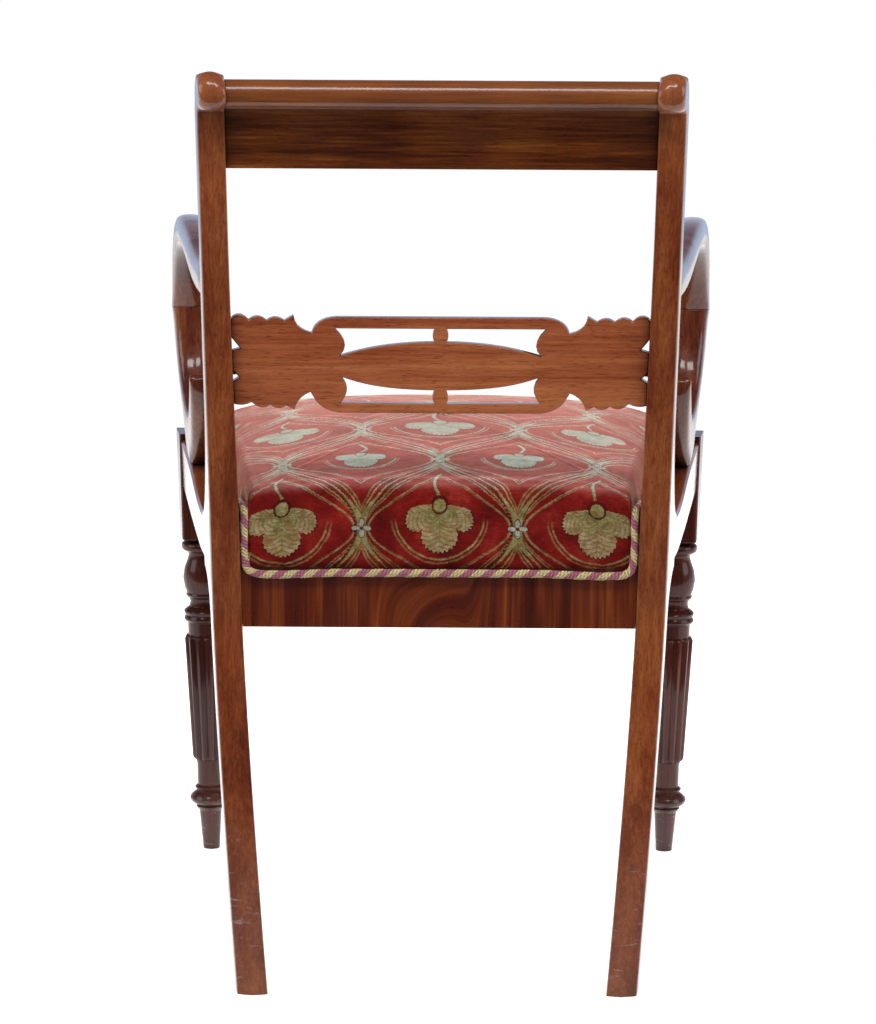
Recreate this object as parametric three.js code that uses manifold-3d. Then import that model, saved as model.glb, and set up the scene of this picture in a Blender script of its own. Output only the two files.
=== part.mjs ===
// Regency style elbow chair with a pierced splat, scroll arms, reeded front legs and an over-stuffed seat.
// Millimetres, +Z up. The sitter faces -Y, and the sitter's left is +X.
import * as THREE from 'three';
import { mergeVertices } from 'three/addons/utils/BufferGeometryUtils.js';
import Module from 'manifold-3d';

const wasm = await Module();
wasm.setup();

// Whole chair. While it is built, y = 0 is the back edge of the stiles at seatLevel.
const earTop = 851.2;
const seatLevel = 412;
const seatHalfWidth = 213.5;
const seatDepth = 459;
const splaySlope = 0.138;
const cantSlope = 0.0384;
const fit = 0.3;
const overrun = 2;

// Stiles, each sawn from one board with its ear and its sabre leg
const rakeSlope = 0.16;
const kneeHeight = 340;
const footRun = 104;
const sabrePower = 1.75;
const stileDepth = 28.5;
const kneeDepth = 33;
const footDepth = 29;
const stileTopThickness = 25;
const stileSeatThickness = 27.5;
const footThickness = 28.4;
const stileNarrowLevel = 640;
const stileCrown = 3;
const edgeRound = 2.5;
const earRadius = 18.5;
const earOverhang = 12;
const earCrown = 6;
const lugReach = 94.5;
const lugTop = 422;
const lugBottom = 371;
const flareTop = 543;
const kneeCurveBottom = 330;

// Crest rail, splat and back seat rail
const crestDrop = 7.8;
const crestHeight = 81.8;
const crestThickness = 18;
const crestSetback = 10;
const crestRollRadius = 13.2;
const rollTurnShare = 1.3;
const coveDrop = 4.4;
const crestRollSet = 6;
const splatTop = 624.5;
const splatBottom = 532.6;
const splatThickness = 12;
const splatSetback = 12;
const splatBevel = 1;
const backRailFace = 14;
const backRailBottom = 326;
const railTop = 430;
const railWallThickness = 19;
const ledgeWidth = 8;
const ledgeLevel = 402;
const frontRailBottom = 350;
const frontRailSetback = 4;

// Side rails
const sideRailThickness = 32;
const sideRailSetIn = 3;
const sideRailSweep = 29;
const sideRailDepth = 44;

// Front legs
const squareWidth = 44.4;
const squareSetIn = 1.5;
const squareTop = 447.5;
const squareBottom = 335.5;
const squareRound = 1.5;
const legRadius = 22.5;
const legLean = 0.0247;
const reedCount = 12;
const reedDepth = 2.8;
const reedFoot = 97;
const reedHead = 231.5;
const reedFootRadius = 17;
const reedHeadRadius = 22;

// Arms and their supports
const armJointHeight = 582;
const armRise = 107.5;
const armTenonShare = 0.64;
const armSetback = 31;
const armBackWidth = 26;
const armFrontWidth = 34;
const armRound = 8;
const supportBaseWidth = 25;
const supportStandoff = 97;
const supportBaseLength = 56;
const supportSteps = 2;
const supportTailRun = 119;
const dowelRadius = 5;
const dowelLength = 44;

// Tenons
const tenonThickness = 9;
const tenonLength = 17;
const sideTenonLength = 30;
const squareTenonLength = 15;
const tenonShoulder = 10;

// Corner blocks
const cornerBlockLeg = 42;
const cornerBlockTop = 396;
const cornerBlockHeight = 42;

// Seat
const crownTop = 498;
const crownPower = 2.4;
const crownRoundness = 0.36;
const crownEdgeShare = 0.97;
const shoulderLevel = 449;
const coverThickness = 1.6;
const sideBulge = 4;
const skirtBottom = 384;
const cordRadius = 4;
const cordTurnLevel = 439;
const cordTurnPower = 4;
const cordTurnReach = 6;
const cordLugShares = [0.4, 0.7, 1];
const strapWidth = 48;
const strapThickness = 1.5;
const strapGap = 0.5;
const hessianThickness = 0.8;
const lengthwiseStraps = 4;
const crosswiseStraps = 3;

// Heights and places that follow from the sizes above
const crestTop = earTop - crestDrop;
const crestBottom = crestTop - crestHeight;
const armCrestHeight = armJointHeight + armRise;
const armFront = seatDepth - armSetback;
const supportBaseFront = seatDepth - supportStandoff;
const supportBaseBack = supportBaseFront - supportBaseLength;
const supportTailReach = supportBaseFront - supportTailRun;

// Fineness of the surfaces
const roundSteps = 20;
const pointsPerReed = 4;
const scallopSteps = 5;
const cornerSteps = 3;
const cordStepsPerPoint = 2;
const cordSides = 8;
const cushionSidePoints = 12;

// Colours and gloss of the materials
const mahogany = { color: 0x7a3414, roughness: 0.32, metalness: 0 };
const darkMahogany = { color: 0x4e2019, roughness: 0.38, metalness: 0 };
const veneer = { color: 0x66250f, roughness: 0.3, metalness: 0 };
const beech = { color: 0xb08a5a, roughness: 0.7, metalness: 0 };
const velvet = { color: 0x7d1417, roughness: 0.85, metalness: 0 };
const horsehair = { color: 0x6e5a45, roughness: 1, metalness: 0 };
const jute = { color: 0xa58a5c, roughness: 0.95, metalness: 0 };
const silkCord = { color: 0x9c5468, roughness: 0.7, metalness: 0 };

const chair = new THREE.Group();
const sides = [['left', 1], ['right', -1]];

function addPiece(name, geometry, finish) {
  const mesh = new THREE.Mesh(geometry, new THREE.MeshStandardMaterial(finish));
  mesh.name = name;
  chair.add(mesh);
}

// Geometry from corner points and triangles, turned so that its faces point out
function closedGeometry(points, triangles) {
  let volume = 0;
  for (const [a, b, c] of triangles) {
    volume += points[a].dot(new THREE.Vector3().crossVectors(points[b], points[c]));
  }
  const outward = volume > 0 ? triangles : triangles.map(([a, b, c]) => [a, c, b]);
  const geometry = new THREE.BufferGeometry();
  geometry.setAttribute('position', new THREE.Float32BufferAttribute(points.flatMap((p) => p.toArray()), 3));
  geometry.setIndex(outward.flat());
  return geometry;
}

// Triangles over a flat ring of points
function capTriangles(ring, first) {
  const normal = new THREE.Vector3();
  ring.forEach((p, i) => normal.add(new THREE.Vector3().crossVectors(p, ring[(i + 1) % ring.length])));
  normal.normalize();
  const across = ring[1].clone().sub(ring[0]).normalize();
  const up = new THREE.Vector3().crossVectors(normal, across);
  const flat = ring.map((p) => new THREE.Vector2(p.dot(across), p.dot(up)));
  return THREE.ShapeUtils.triangulateShape(flat, []).map((t) => t.map((i) => first + i));
}

// A skin over rings of points that all hold the same number of points. The quads between the
// first rings are split along their other diagonal, as many as turned says.
function loft(rings, loop = false, turned = 0) {
  const count = rings[0].length;
  const triangles = [];
  const last = loop ? rings.length : rings.length - 1;
  for (let r = 0; r < last; r += 1) {
    const here = r * count;
    const next = ((r + 1) % rings.length) * count;
    for (let i = 0; i < count; i += 1) {
      const j = (i + 1) % count;
      if (r < turned) {
        triangles.push([here + i, here + j, next + i], [here + j, next + j, next + i]);
      } else {
        triangles.push([here + i, here + j, next + j], [here + i, next + j, next + i]);
      }
    }
  }
  if (!loop) {
    const head = (rings.length - 1) * count;
    capTriangles(rings[0], 0).forEach(([a, b, c]) => triangles.push([a, c, b]));
    capTriangles(rings[rings.length - 1], head).forEach((t) => triangles.push(t));
  }
  return closedGeometry(rings.flat(), triangles);
}

// Boolean work
function toSolid(geometry) {
  const bare = geometry.clone();
  bare.deleteAttribute('normal');
  bare.deleteAttribute('uv');
  const merged = mergeVertices(bare);
  const vertProperties = new Float32Array(merged.attributes.position.array);
  const triVerts = new Uint32Array(merged.index.array);
  return new wasm.Manifold(new wasm.Mesh({ numProp: 3, vertProperties, triVerts }));
}

function toGeometry(solid) {
  const { vertProperties, triVerts } = solid.getMesh();
  const geometry = new THREE.BufferGeometry();
  geometry.setAttribute('position', new THREE.BufferAttribute(vertProperties, 3));
  geometry.setIndex(new THREE.BufferAttribute(triVerts, 1));
  return geometry;
}

function carve(body, joined, cut) {
  let solid = toSolid(body);
  for (const geometry of joined) {
    solid = solid.add(toSolid(geometry));
  }
  for (const geometry of cut) {
    solid = solid.subtract(toSolid(geometry));
  }
  return toGeometry(solid);
}

function mix(from, to, share) {
  return from + (to - from) * share;
}

// Value at a place in a table of [place, value] shares, on a smooth curve through them
function smoothShare(table, place) {
  const last = table.length - 1;
  let i = 0;
  while (i < last - 1 && table[i + 1][0] < place) {
    i += 1;
  }
  const slope = (k) => {
    const a = table[Math.max(k - 1, 0)];
    const b = table[Math.min(k + 1, last)];
    return (b[1] - a[1]) / (b[0] - a[0]);
  };
  const span = table[i + 1][0] - table[i][0];
  const t = (place - table[i][0]) / span;
  const rise = t * t * (3 - 2 * t);
  const start = t * (1 - t) * (1 - t) * span * slope(i);
  const finish = t * t * (1 - t) * span * slope(i + 1);
  return mix(table[i][1], table[i + 1][1], rise) + start - finish;
}

// The outer face of each side frame is one plane that opens to the front and leans outwards.
function outerX(y, z) {
  return seatHalfWidth - splaySlope * y + cantSlope * (z - seatLevel);
}

function sidePoint(side, y, z, inset) {
  return new THREE.Vector3(side * (outerX(y, z) - inset), y, z);
}

// A block in the side frame: ranges along y and z, and inwards from the outer face
function sideBlock(side, [y0, y1], [z0, z1], [in0, in1]) {
  const ring = (y) => [[z0, in0], [z1, in0], [z1, in1], [z0, in1]].map(([z, inset]) => sidePoint(side, y, z, inset));
  return loft([ring(y0), ring(y1)]);
}

function crossBlock([x0, x1], [y0, y1], [z0, z1]) {
  const block = new THREE.BoxGeometry(x1 - x0, y1 - y0, z1 - z0);
  return block.translate((x0 + x1) / 2, (y0 + y1) / 2, (z0 + z1) / 2);
}

function grown([low, high], gap) {
  return [low - gap, high + gap];
}

// Stile outline from the side
function stileThickness(z) {
  if (z < seatLevel) {
    return mix(footThickness, stileSeatThickness, Math.max(z, 0) / seatLevel);
  }
  const share = Math.min((z - seatLevel) / (stileNarrowLevel - seatLevel), 1);
  return mix(stileSeatThickness, stileTopThickness, share);
}

function stileBack(z) {
  const knee = rakeSlope * (kneeHeight - seatLevel);
  if (z > kneeHeight) {
    return knee + rakeSlope * (z - kneeHeight);
  }
  return knee + footRun * ((kneeHeight - z) / kneeHeight) ** sabrePower;
}

function stileFront(z) {
  if (z > flareTop) {
    return stileBack(z) - stileDepth;
  }
  return stileBack(z) - mix(footDepth, kneeDepth, Math.min(z / kneeCurveBottom, 1));
}

function innerX(y, z) {
  return outerX(y, z) - stileThickness(z);
}

// Quarter ellipses: the sweep from the stile into the side rail, and the knee under the rail
function stileLevels() {
  const levels = [];
  const legSteps = 11;
  for (let i = 0; i <= legSteps; i += 1) {
    const z = kneeCurveBottom * (i / legSteps);
    levels.push([z, stileFront(z), stileBack(z)]);
  }
  const curveSteps = 6;
  for (let i = 1; i <= curveSteps; i += 1) {
    const turn = (i / curveSteps) * Math.PI / 2;
    const z = mix(kneeCurveBottom, lugBottom, Math.sin(turn));
    const start = stileFront(kneeCurveBottom);
    levels.push([z, mix(start, -lugReach, 1 - Math.cos(turn)), stileBack(z)]);
  }
  const sweepSteps = 9;
  for (let i = 0; i <= sweepSteps; i += 1) {
    const turn = (1 - i / sweepSteps) * Math.PI / 2;
    const z = mix(flareTop, lugTop, Math.sin(turn));
    const above = stileBack(z) - stileDepth;
    levels.push([z, mix(above, -lugReach, 1 - Math.cos(turn)), stileBack(z)]);
  }
  const earCentre = stileBack(earTop - earRadius) + earOverhang;
  const curlFoot = earTop - 2 * earRadius;
  const shaftLevels = [armJointHeight, armCrestHeight, crestBottom, curlFoot];
  shaftLevels.forEach((z) => levels.push([z, stileFront(z), stileBack(z)]));
  const curlSteps = 6;
  for (let i = 1; i < curlSteps; i += 1) {
    const turn = (i / curlSteps) * Math.PI / 2;
    const z = mix(curlFoot, earTop, Math.sin(turn));
    levels.push([z, mix(earCentre, stileFront(curlFoot), Math.cos(turn)), earCentre]);
  }
  return levels;
}

// One horizontal slice of a stile, with rounded corners and a crowned back
function stileRing(side, [z, front, back]) {
  const width = stileThickness(z);
  const soft = edgeRound * (1 - Math.SQRT1_2);
  const corners = [
    [front + edgeRound, 0], [front + soft, soft], [front, edgeRound],
    [front, width - edgeRound], [front + soft, width - soft], [front + edgeRound, width],
    [back - edgeRound, width], [back - soft, width - soft], [back, width - edgeRound],
    [back + stileCrown, width / 2],
    [back, edgeRound], [back - soft, soft], [back - edgeRound, 0],
  ];
  return corners.map(([y, inset]) => sidePoint(side, y, z, inset));
}

// The ear is a short barrel on the stile's top, bulging in the middle of its width
function earBarrel(side) {
  const centreZ = earTop - earRadius;
  const centreY = stileBack(centreZ) + earOverhang;
  const width = stileThickness(centreZ);
  const bulgeShares = [[0, 0.1], [0.06, 0.5], [0.2, 0.8], [0.5, 1], [0.8, 0.8], [0.94, 0.5], [1, 0.1]];
  const rings = bulgeShares.map(([across, bulge]) => {
    const radius = earRadius - earCrown * (1 - bulge);
    return Array.from({ length: roundSteps }, (_, i) => {
      const angle = (i / roundSteps) * 2 * Math.PI;
      const y = centreY + radius * Math.cos(angle);
      return sidePoint(side, y, centreZ + radius * Math.sin(angle), width * across);
    });
  });
  return loft(rings);
}

// Tenons, each given as ranges that its mortise follows with the fit gap
const sideTenon = {
  y: [-lugReach - fit - overrun, -lugReach + sideTenonLength],
  z: [lugBottom + tenonShoulder, lugTop - tenonShoulder],
  inset: [stileSeatThickness / 2 - tenonThickness / 2, stileSeatThickness / 2 + tenonThickness / 2],
};

const squareBack = squareWidth - seatDepth;

const squareTenon = {
  y: [squareBack - squareTenonLength, squareBack + fit + overrun],
  z: [lugBottom + 2 * tenonShoulder + overrun, seatLevel],
  inset: sideTenon.inset,
};

const armTenonZ = armJointHeight + armRise * armTenonShare;
const armTenon = {
  y: [stileFront(armTenonZ) - overrun - tenonShoulder / 2, stileFront(armTenonZ) + tenonLength],
  z: [armTenonZ - tenonThickness, armTenonZ + tenonThickness],
  inset: [(armBackWidth - tenonThickness) / 2, (armBackWidth + tenonThickness) / 2],
};

function crossTenon(middleY, [z0, z1], thickness) {
  const middleZ = (z0 + z1) / 2;
  const shoulder = innerX(middleY, middleZ);
  return {
    x: [shoulder - overrun * 2 - fit, shoulder + tenonLength],
    y: [middleY - thickness / 2, middleY + thickness / 2],
    z: [z0, z1],
  };
}

const crestTenonZ = [crestBottom + tenonShoulder, crestTop - 2 * crestRollRadius - tenonShoulder];
const crestMiddleY = stileBack((crestTenonZ[0] + crestTenonZ[1]) / 2) - crestSetback - crestThickness / 2;
const crestTenon = crossTenon(crestMiddleY, crestTenonZ, tenonThickness);

const splatMiddleZ = (splatTop + splatBottom) / 2;
const splatTenonZ = [splatMiddleZ - tenonShoulder, splatMiddleZ + tenonShoulder];
const splatMiddleY = stileBack(splatMiddleZ) - splatSetback - splatThickness / 2;
const splatTenon = crossTenon(splatMiddleY, splatTenonZ, splatThickness / 2);

const backTenonZ = [backRailBottom + 2 * tenonShoulder, railTop - 2 * tenonShoulder];
const backMiddleY = -backRailFace - railWallThickness / 2;
const backTenon = crossTenon(backMiddleY, backTenonZ, tenonThickness);

function mirroredBlock(side, tenon, gap) {
  const x = grown(tenon.x, gap);
  return crossBlock(side > 0 ? x : [-x[1], -x[0]], grown(tenon.y, gap), grown(tenon.z, gap));
}

function buildStile(side) {
  const mortises = [crestTenon, splatTenon, backTenon].map((tenon) => mirroredBlock(side, tenon, fit));
  for (const tenon of [sideTenon, armTenon]) {
    mortises.push(sideBlock(side, grown(tenon.y, fit), grown(tenon.z, fit), grown(tenon.inset, fit)));
  }
  const shaft = loft(stileLevels().map((level) => stileRing(side, level)));
  return carve(shaft, [earBarrel(side)], mortises);
}

// A member that runs from stile to stile: its outline in y and z, its ends on the stiles' inner faces
function crossMember(outline, endX) {
  const ring = (side) => outline.map(([y, z]) => new THREE.Vector3(side * endX(y, z), y, z));
  return loft([ring(1), ring(-1)]);
}

function shoulderX(y, z) {
  return innerX(y, z) - fit;
}

// The crest rail curls over at the top into a roll at its back.
function buildCrestRail() {
  const back = (z) => stileBack(z) - crestSetback;
  const front = (z) => back(z) - crestThickness;
  const rollZ = crestTop - crestRollRadius;
  const rollY = stileBack(rollZ) + crestRollSet;
  const springZ = rollZ - crestRollRadius;
  const outline = [[back(crestBottom), crestBottom], [front(crestBottom), crestBottom], [front(springZ), springZ]];
  const overSteps = 5;
  for (let i = 1; i < overSteps; i += 1) {
    const turn = (i / overSteps) * Math.PI / 2;
    outline.push([mix(rollY, front(springZ), Math.cos(turn)), mix(springZ, crestTop, Math.sin(turn))]);
  }
  const rollSteps = 12;
  const rollTurn = rollTurnShare * Math.PI;
  for (let i = 0; i <= rollSteps; i += 1) {
    const angle = Math.PI / 2 - rollTurn * (i / rollSteps);
    outline.push([rollY + crestRollRadius * Math.cos(angle), rollZ + crestRollRadius * Math.sin(angle)]);
  }
  const coveZ = springZ - coveDrop;
  outline.push([back(coveZ), coveZ]);
  const tenons = [1, -1].map((side) => mirroredBlock(side, crestTenon, 0));
  return carve(crossMember(outline, shoulderX), tenons, []);
}

// Half of the splat's outline from its centre, as shares of its half width and of its height.
// A row of four holds the control point of the curve on the way there as its last two numbers.
const splatEdgeShares = [
  [0.49, 0.9902], [0.5947, 0.9055, 0.56, 0.9852], [0.613, 0.8277, 0.607, 0.872],
  [0.698, 1.0049, 0.69, 0.8621], [0.741, 0.9517], [0.825, 0.9517, 0.783, 1.0197],
  [0.909, 0.9567, 0.867, 1.0335], [1, 0.9567, 0.955, 1.0689], [1, 0.7804], [0.958, 0.6652], [1, 0.6396],
  [1, 0.4338], [0.967, 0.3668], [1, 0.3205], [1, 0.0891], [0.913, 0.1058, 0.957, 0.0595],
  [0.822, 0.0802, 0.867, 0.0133], [0.7455, 0.0738, 0.784, 0.0152], [0.706, 0.033],
  [0.6265, 0.2147, 0.69, 0.1629], [0.5997, 0.1196, 0.613, 0.1629], [0.485, 0.0034, 0.56, 0.0152], [0, -0],
];
const splatOpeningShares = [
  [
    [0.0292, 0.873], [0.5017, 0.873], [0.4815, 0.5943, 0.422, 0.7193], [0.2847, 0.6928, 0.36, 0.6691],
    [0.0292, 0.7371, 0.16, 0.7341], [0.0292, 0.873, 0.0468, 0.805],
  ],
  [
    [0.0292, 0.2388], [0.2847, 0.2732, 0.18, 0.2417], [0.472, 0.3707, 0.38, 0.3008],
    [0.4815, 0.1068, 0.422, 0.2516], [0.0292, 0.0989], [0.0292, 0.2388, 0.0468, 0.1689],
  ],
];

function tracePath(path, rows, flip, halfWidth, height) {
  const place = (x, z) => [flip * x * halfWidth, z * height];
  path.moveTo(...place(...rows[0]));
  for (const [x, z, ...control] of rows.slice(1)) {
    if (control.length > 0) {
      path.quadraticCurveTo(...place(...control), ...place(x, z));
    } else {
      path.lineTo(...place(x, z));
    }
  }
  return path;
}

function buildSplat() {
  const height = splatTop - splatBottom;
  const halfWidth = shoulderX(splatMiddleY, splatMiddleZ);
  const half = tracePath(new THREE.Path(), splatEdgeShares, 1, halfWidth, height).getPoints(scallopSteps);
  const mirrored = half.slice(0, -1).map((p) => new THREE.Vector2(-p.x, p.y));
  const shape = new THREE.Shape([...mirrored, ...half.reverse()]);
  for (const flip of [1, -1]) {
    for (const rows of splatOpeningShares) {
      shape.holes.push(tracePath(new THREE.Path(), rows, flip, halfWidth, height));
    }
  }
  const plate = new THREE.ExtrudeGeometry(shape, {
    depth: splatThickness - 2 * splatBevel,
    bevelThickness: splatBevel,
    bevelSize: splatBevel,
    bevelOffset: -splatBevel,
    bevelSegments: 1,
    curveSegments: scallopSteps,
  });
  const points = plate.attributes.position;
  for (let i = 0; i < points.count; i += 1) {
    const z = splatBottom + points.getY(i);
    const y = stileBack(z) - splatSetback - splatBevel - points.getZ(i);
    points.setXYZ(i, points.getX(i) * (shoulderX(y, z) / halfWidth), y, z);
  }
  const tenons = [1, -1].map((side) => mirroredBlock(side, splatTenon, 0));
  return carve(plate, tenons, []);
}

function buildBackRail() {
  const wall = -backRailFace - railWallThickness;
  const outline = [
    [-backRailFace, backRailBottom], [-backRailFace, railTop], [wall, railTop],
    [wall, ledgeLevel], [wall - ledgeWidth, ledgeLevel], [wall - ledgeWidth, backRailBottom],
  ];
  const tenons = [1, -1].map((side) => mirroredBlock(side, backTenon, 0));
  return carve(crossMember(outline, shoulderX), tenons, []);
}

// Front legs: a square that takes the rails, and a turned and reeded shaft that leans in to the foot
function squareX(y, z, inset) {
  const atTop = outerX(y, squareTop) - squareSetIn - inset;
  return atTop - legLean * (squareTop - z);
}

const squareFront = -seatDepth;
const frontRailFace = squareFront + frontRailSetback;
const frontRailInner = frontRailFace + railWallThickness + ledgeWidth;
const frontTenonY = frontRailFace + railWallThickness / 2;
const frontTenonZ = [frontRailBottom + tenonShoulder, railTop - 2 * tenonShoulder];

function frontTenonBlock(side, gap) {
  const shoulder = squareX(frontTenonY, (frontTenonZ[0] + frontTenonZ[1]) / 2, squareWidth);
  const x = grown([shoulder - 2 * overrun, shoulder + squareTenonLength], gap);
  const y = grown([frontTenonY - tenonThickness / 2, frontTenonY + tenonThickness / 2], gap);
  return crossBlock(side > 0 ? x : [-x[1], -x[0]], y, grown(frontTenonZ, gap));
}

function buildFrontRail() {
  const wall = frontRailFace + railWallThickness;
  const outline = [
    [frontRailFace, frontRailBottom], [frontRailFace, railTop], [wall, railTop],
    [wall, ledgeLevel], [frontRailInner, ledgeLevel], [frontRailInner, frontRailBottom],
  ];
  const endX = (y, z) => squareX(y, z, squareWidth) - fit;
  return carve(crossMember(outline, endX), [1, -1].map((side) => frontTenonBlock(side, 0)), []);
}

// The turned profile from the floor up, as shares of the turned height and of the largest radius
const turningShares = [
  [0, 0], [0, 0.39], [0.124, 0.52], [0.13, 0.6], [0.137, 0.67], [0.144, 0.6], [0.147, 0.76],
  [0.155, 0.9], [0.164, 0.947], [0.173, 0.9], [0.181, 0.77], [0.188, 0.62], [0.2, 0.7], [0.208, 0.565],
  [0.276, 0.565], [0.289, 0.62], [0.289, 0.61], [0.66, 0.83], [0.677, 0.796], [0.731, 0.796],
  [0.735, 0.91], [0.741, 0.96], [0.748, 0.94], [0.753, 0.88], [0.758, 0.94], [0.765, 0.96],
  [0.771, 0.91], [0.781, 0.71], [0.796, 0.653], [0.808, 0.71], [0.812, 0.8], [0.818, 0.844],
  [0.825, 0.81], [0.843, 0.9], [0.873, 0.96], [0.903, 0.88], [0.927, 0.74], [0.945, 0.667],
  [0.952, 0.7], [0.957, 0.84], [0.963, 0.96], [0.972, 1], [0.981, 0.97], [0.989, 0.84], [0.993, 0.76], [1.003, 0.76],
  [1.003, 0],
];

function buildFrontLeg(side) {
  const middleY = squareFront + squareWidth / 2;
  const topX = squareX(middleY, squareBottom, squareWidth / 2);
  const place = (x, y, z) => {
    return new THREE.Vector3(side * (topX - legLean * (squareBottom - z)) + x, middleY + y, z);
  };
  const profile = turningShares.map(([up, out]) => new THREE.Vector2(out * legRadius, up * squareBottom));
  const shaft = new THREE.LatheGeometry(profile, roundSteps).rotateX(Math.PI / 2);
  const points = shaft.attributes.position;
  for (let i = 0; i < points.count; i += 1) {
    points.setXYZ(i, ...place(points.getX(i), points.getY(i), points.getZ(i)).toArray());
  }
  const reedShares = [[0, 0.84], [0.012, 0.94], [0.03, 1], [0.5, 1], [0.975, 1], [0.99, 0.95], [1, 0.86]];
  const reedPoints = reedCount * pointsPerReed;
  const reedRings = reedShares.map(([up, fullness]) => {
    const z = mix(reedFoot, reedHead, up);
    const crest = mix(reedFootRadius, reedHeadRadius, up) * fullness;
    return Array.from({ length: reedPoints }, (_, i) => {
      const angle = (i / reedPoints) * 2 * Math.PI;
      const radius = crest - reedDepth * (1 - Math.abs(Math.sin((reedCount * angle) / 2)));
      return place(radius * Math.cos(angle), radius * Math.sin(angle), z);
    });
  });
  const corner = (y, inset, z) => new THREE.Vector3(side * squareX(y, z, inset), y, z);
  const squareRing = (z) => [
    [squareFront, squareRound], [squareFront + squareRound, 0],
    [squareBack - squareRound, 0], [squareBack, squareRound],
    [squareBack, squareWidth - squareRound], [squareBack - squareRound, squareWidth],
    [squareFront + squareRound, squareWidth], [squareFront, squareWidth - squareRound],
  ].map(([y, inset]) => corner(y, inset, z));
  const square = loft([squareRing(squareBottom), squareRing(squareTop)]);
  const sideMortise = sideBlock(side, grown(squareTenon.y, fit), grown(squareTenon.z, fit), grown(squareTenon.inset, fit));
  return carve(shaft, [loft(reedRings), square], [sideMortise, frontTenonBlock(side, fit)]);
}

// Side rails: the top dips behind the arm and sweeps up into the stile
const sideRailTopShares = [
  [0, 0.345], [0.09, 0.1], [0.173, -0.03], [0.36, 0.086], [0.541, 0.48], [0.7, 0.76], [1, 1],
];
const sideRailUnderShares = [[0, 0.068], [0.25, 0], [0.36, 0.045], [0.6, 0.2], [0.888, 0.455], [1, 0.523]];
const sideRailBackEnd = -lugReach - fit;
const sideRailFrontEnd = squareBack + fit;

function sideRailPlace(y) {
  return Math.min(Math.max((sideRailBackEnd - y) / (sideRailBackEnd - sideRailFrontEnd), 0), 1);
}

function sideRailTop(y) {
  return seatLevel + sideRailSweep * smoothShare(sideRailTopShares, sideRailPlace(y));
}

function sideRailUnder(y) {
  return seatLevel - sideRailDepth * (1 - smoothShare(sideRailUnderShares, sideRailPlace(y)));
}

const supportBaseMiddle = -(supportBaseFront + supportBaseBack) / 2;
const supportSeatZ = sideRailTop(supportBaseMiddle);

function dowel(side, y, z, inset, gap) {
  const round = 12;
  const length = dowelLength + 2 * gap;
  const pin = new THREE.CylinderGeometry(dowelRadius + gap, dowelRadius + gap, length, round).rotateX(Math.PI / 2);
  const centre = sidePoint(side, y, z, inset);
  return pin.translate(centre.x, centre.y, centre.z);
}

function armDowel(side, gap) {
  return dowel(side, -armFront + armFrontWidth / 2, armJointHeight, armFrontWidth / 2, gap);
}

function supportDowel(side, gap) {
  return dowel(side, supportBaseMiddle, supportSeatZ, sideRailSetIn + supportBaseWidth / 2, gap);
}

function buildSideRail(side) {
  const in0 = sideRailSetIn;
  const in1 = in0 + sideRailThickness;
  const in2 = in1 + ledgeWidth;
  const steps = 15;
  const rings = Array.from({ length: steps + 1 }, (_, i) => {
    const y = mix(sideRailBackEnd, sideRailFrontEnd, i / steps);
    const top = sideRailTop(y);
    const under = sideRailUnder(y);
    const section = [
      [under, in0 + edgeRound], [under + edgeRound, in0], [top - edgeRound, in0], [top, in0 + edgeRound],
      [top, in1], [ledgeLevel, in1], [ledgeLevel, in2], [under, in2],
    ];
    return section.map(([z, inset]) => sidePoint(side, y, z, inset));
  });
  const tenons = [sideTenon, squareTenon].map((tenon) => sideBlock(side, tenon.y, tenon.z, tenon.inset));
  return carve(loft(rings), tenons, [supportDowel(side, fit)]);
}

// A section of an arm: from one edge point to the other in the side frame, with rounded corners
function limbRing(side, [y0, z0], [y1, z1], inset, width) {
  const length = Math.hypot(y1 - y0, z1 - z0);
  const round = Math.min(armRound, length / 3);
  const turns = Array.from({ length: cornerSteps + 1 }, (_, i) => (i / cornerSteps) * (Math.PI / 2));
  const arc = turns.map((turn) => [round * (1 - Math.sin(turn)), round * (1 - Math.cos(turn))]);
  const far = arc.map(([along, across]) => [along, width - across]).reverse();
  const near = [...arc, ...far];
  const corners = [...near, ...near.map(([along, across]) => [length - along, across]).reverse()];
  return corners.map(([along, across]) => {
    const share = along / length;
    return sidePoint(side, mix(y0, y1, share), mix(z0, z1, share), inset + across);
  });
}

function smoothLine(points, steps) {
  return new THREE.SplineCurve(points.map(([y, z]) => new THREE.Vector2(y, z))).getPoints(steps).map((p) => p.toArray());
}

// Both edges of the arm from the stile to its joint, as shares of its reach and of its rise above the joint
const armTopShares = [
  [0, 0.789], [0.186, 0.794], [0.359, 0.881], [0.522, 0.963], [0.683, 1], [0.798, 0.917], [0.892, 0.688],
  [0.968, 0.349], [1, 0],
];
const armUnderShares = [
  [0, 0.505], [0.177, 0.477], [0.338, 0.514], [0.503, 0.633], [0.667, 0.706], [0.759, 0.66], [0.828, 0.514],
  [0.897, 0.248], [0.926, 0],
];

function armPoint([along, up]) {
  const z = armJointHeight + fit + (armCrestHeight - armJointHeight - fit) * up;
  return [mix(stileFront(z) - fit, -armFront, along), z];
}

function buildArm(side) {
  const steps = 20;
  const top = smoothLine(armTopShares.map(armPoint), steps);
  const under = smoothLine(armUnderShares.map(armPoint), steps);
  const rings = top.map((point, i) => {
    const width = mix(armBackWidth, armFrontWidth, i / steps);
    return limbRing(side, under[i], point, 0, width);
  });
  const tenon = sideBlock(side, armTenon.y, armTenon.z, armTenon.inset);
  return carve(loft(rings), [tenon], [armDowel(side, fit)]);
}

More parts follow.
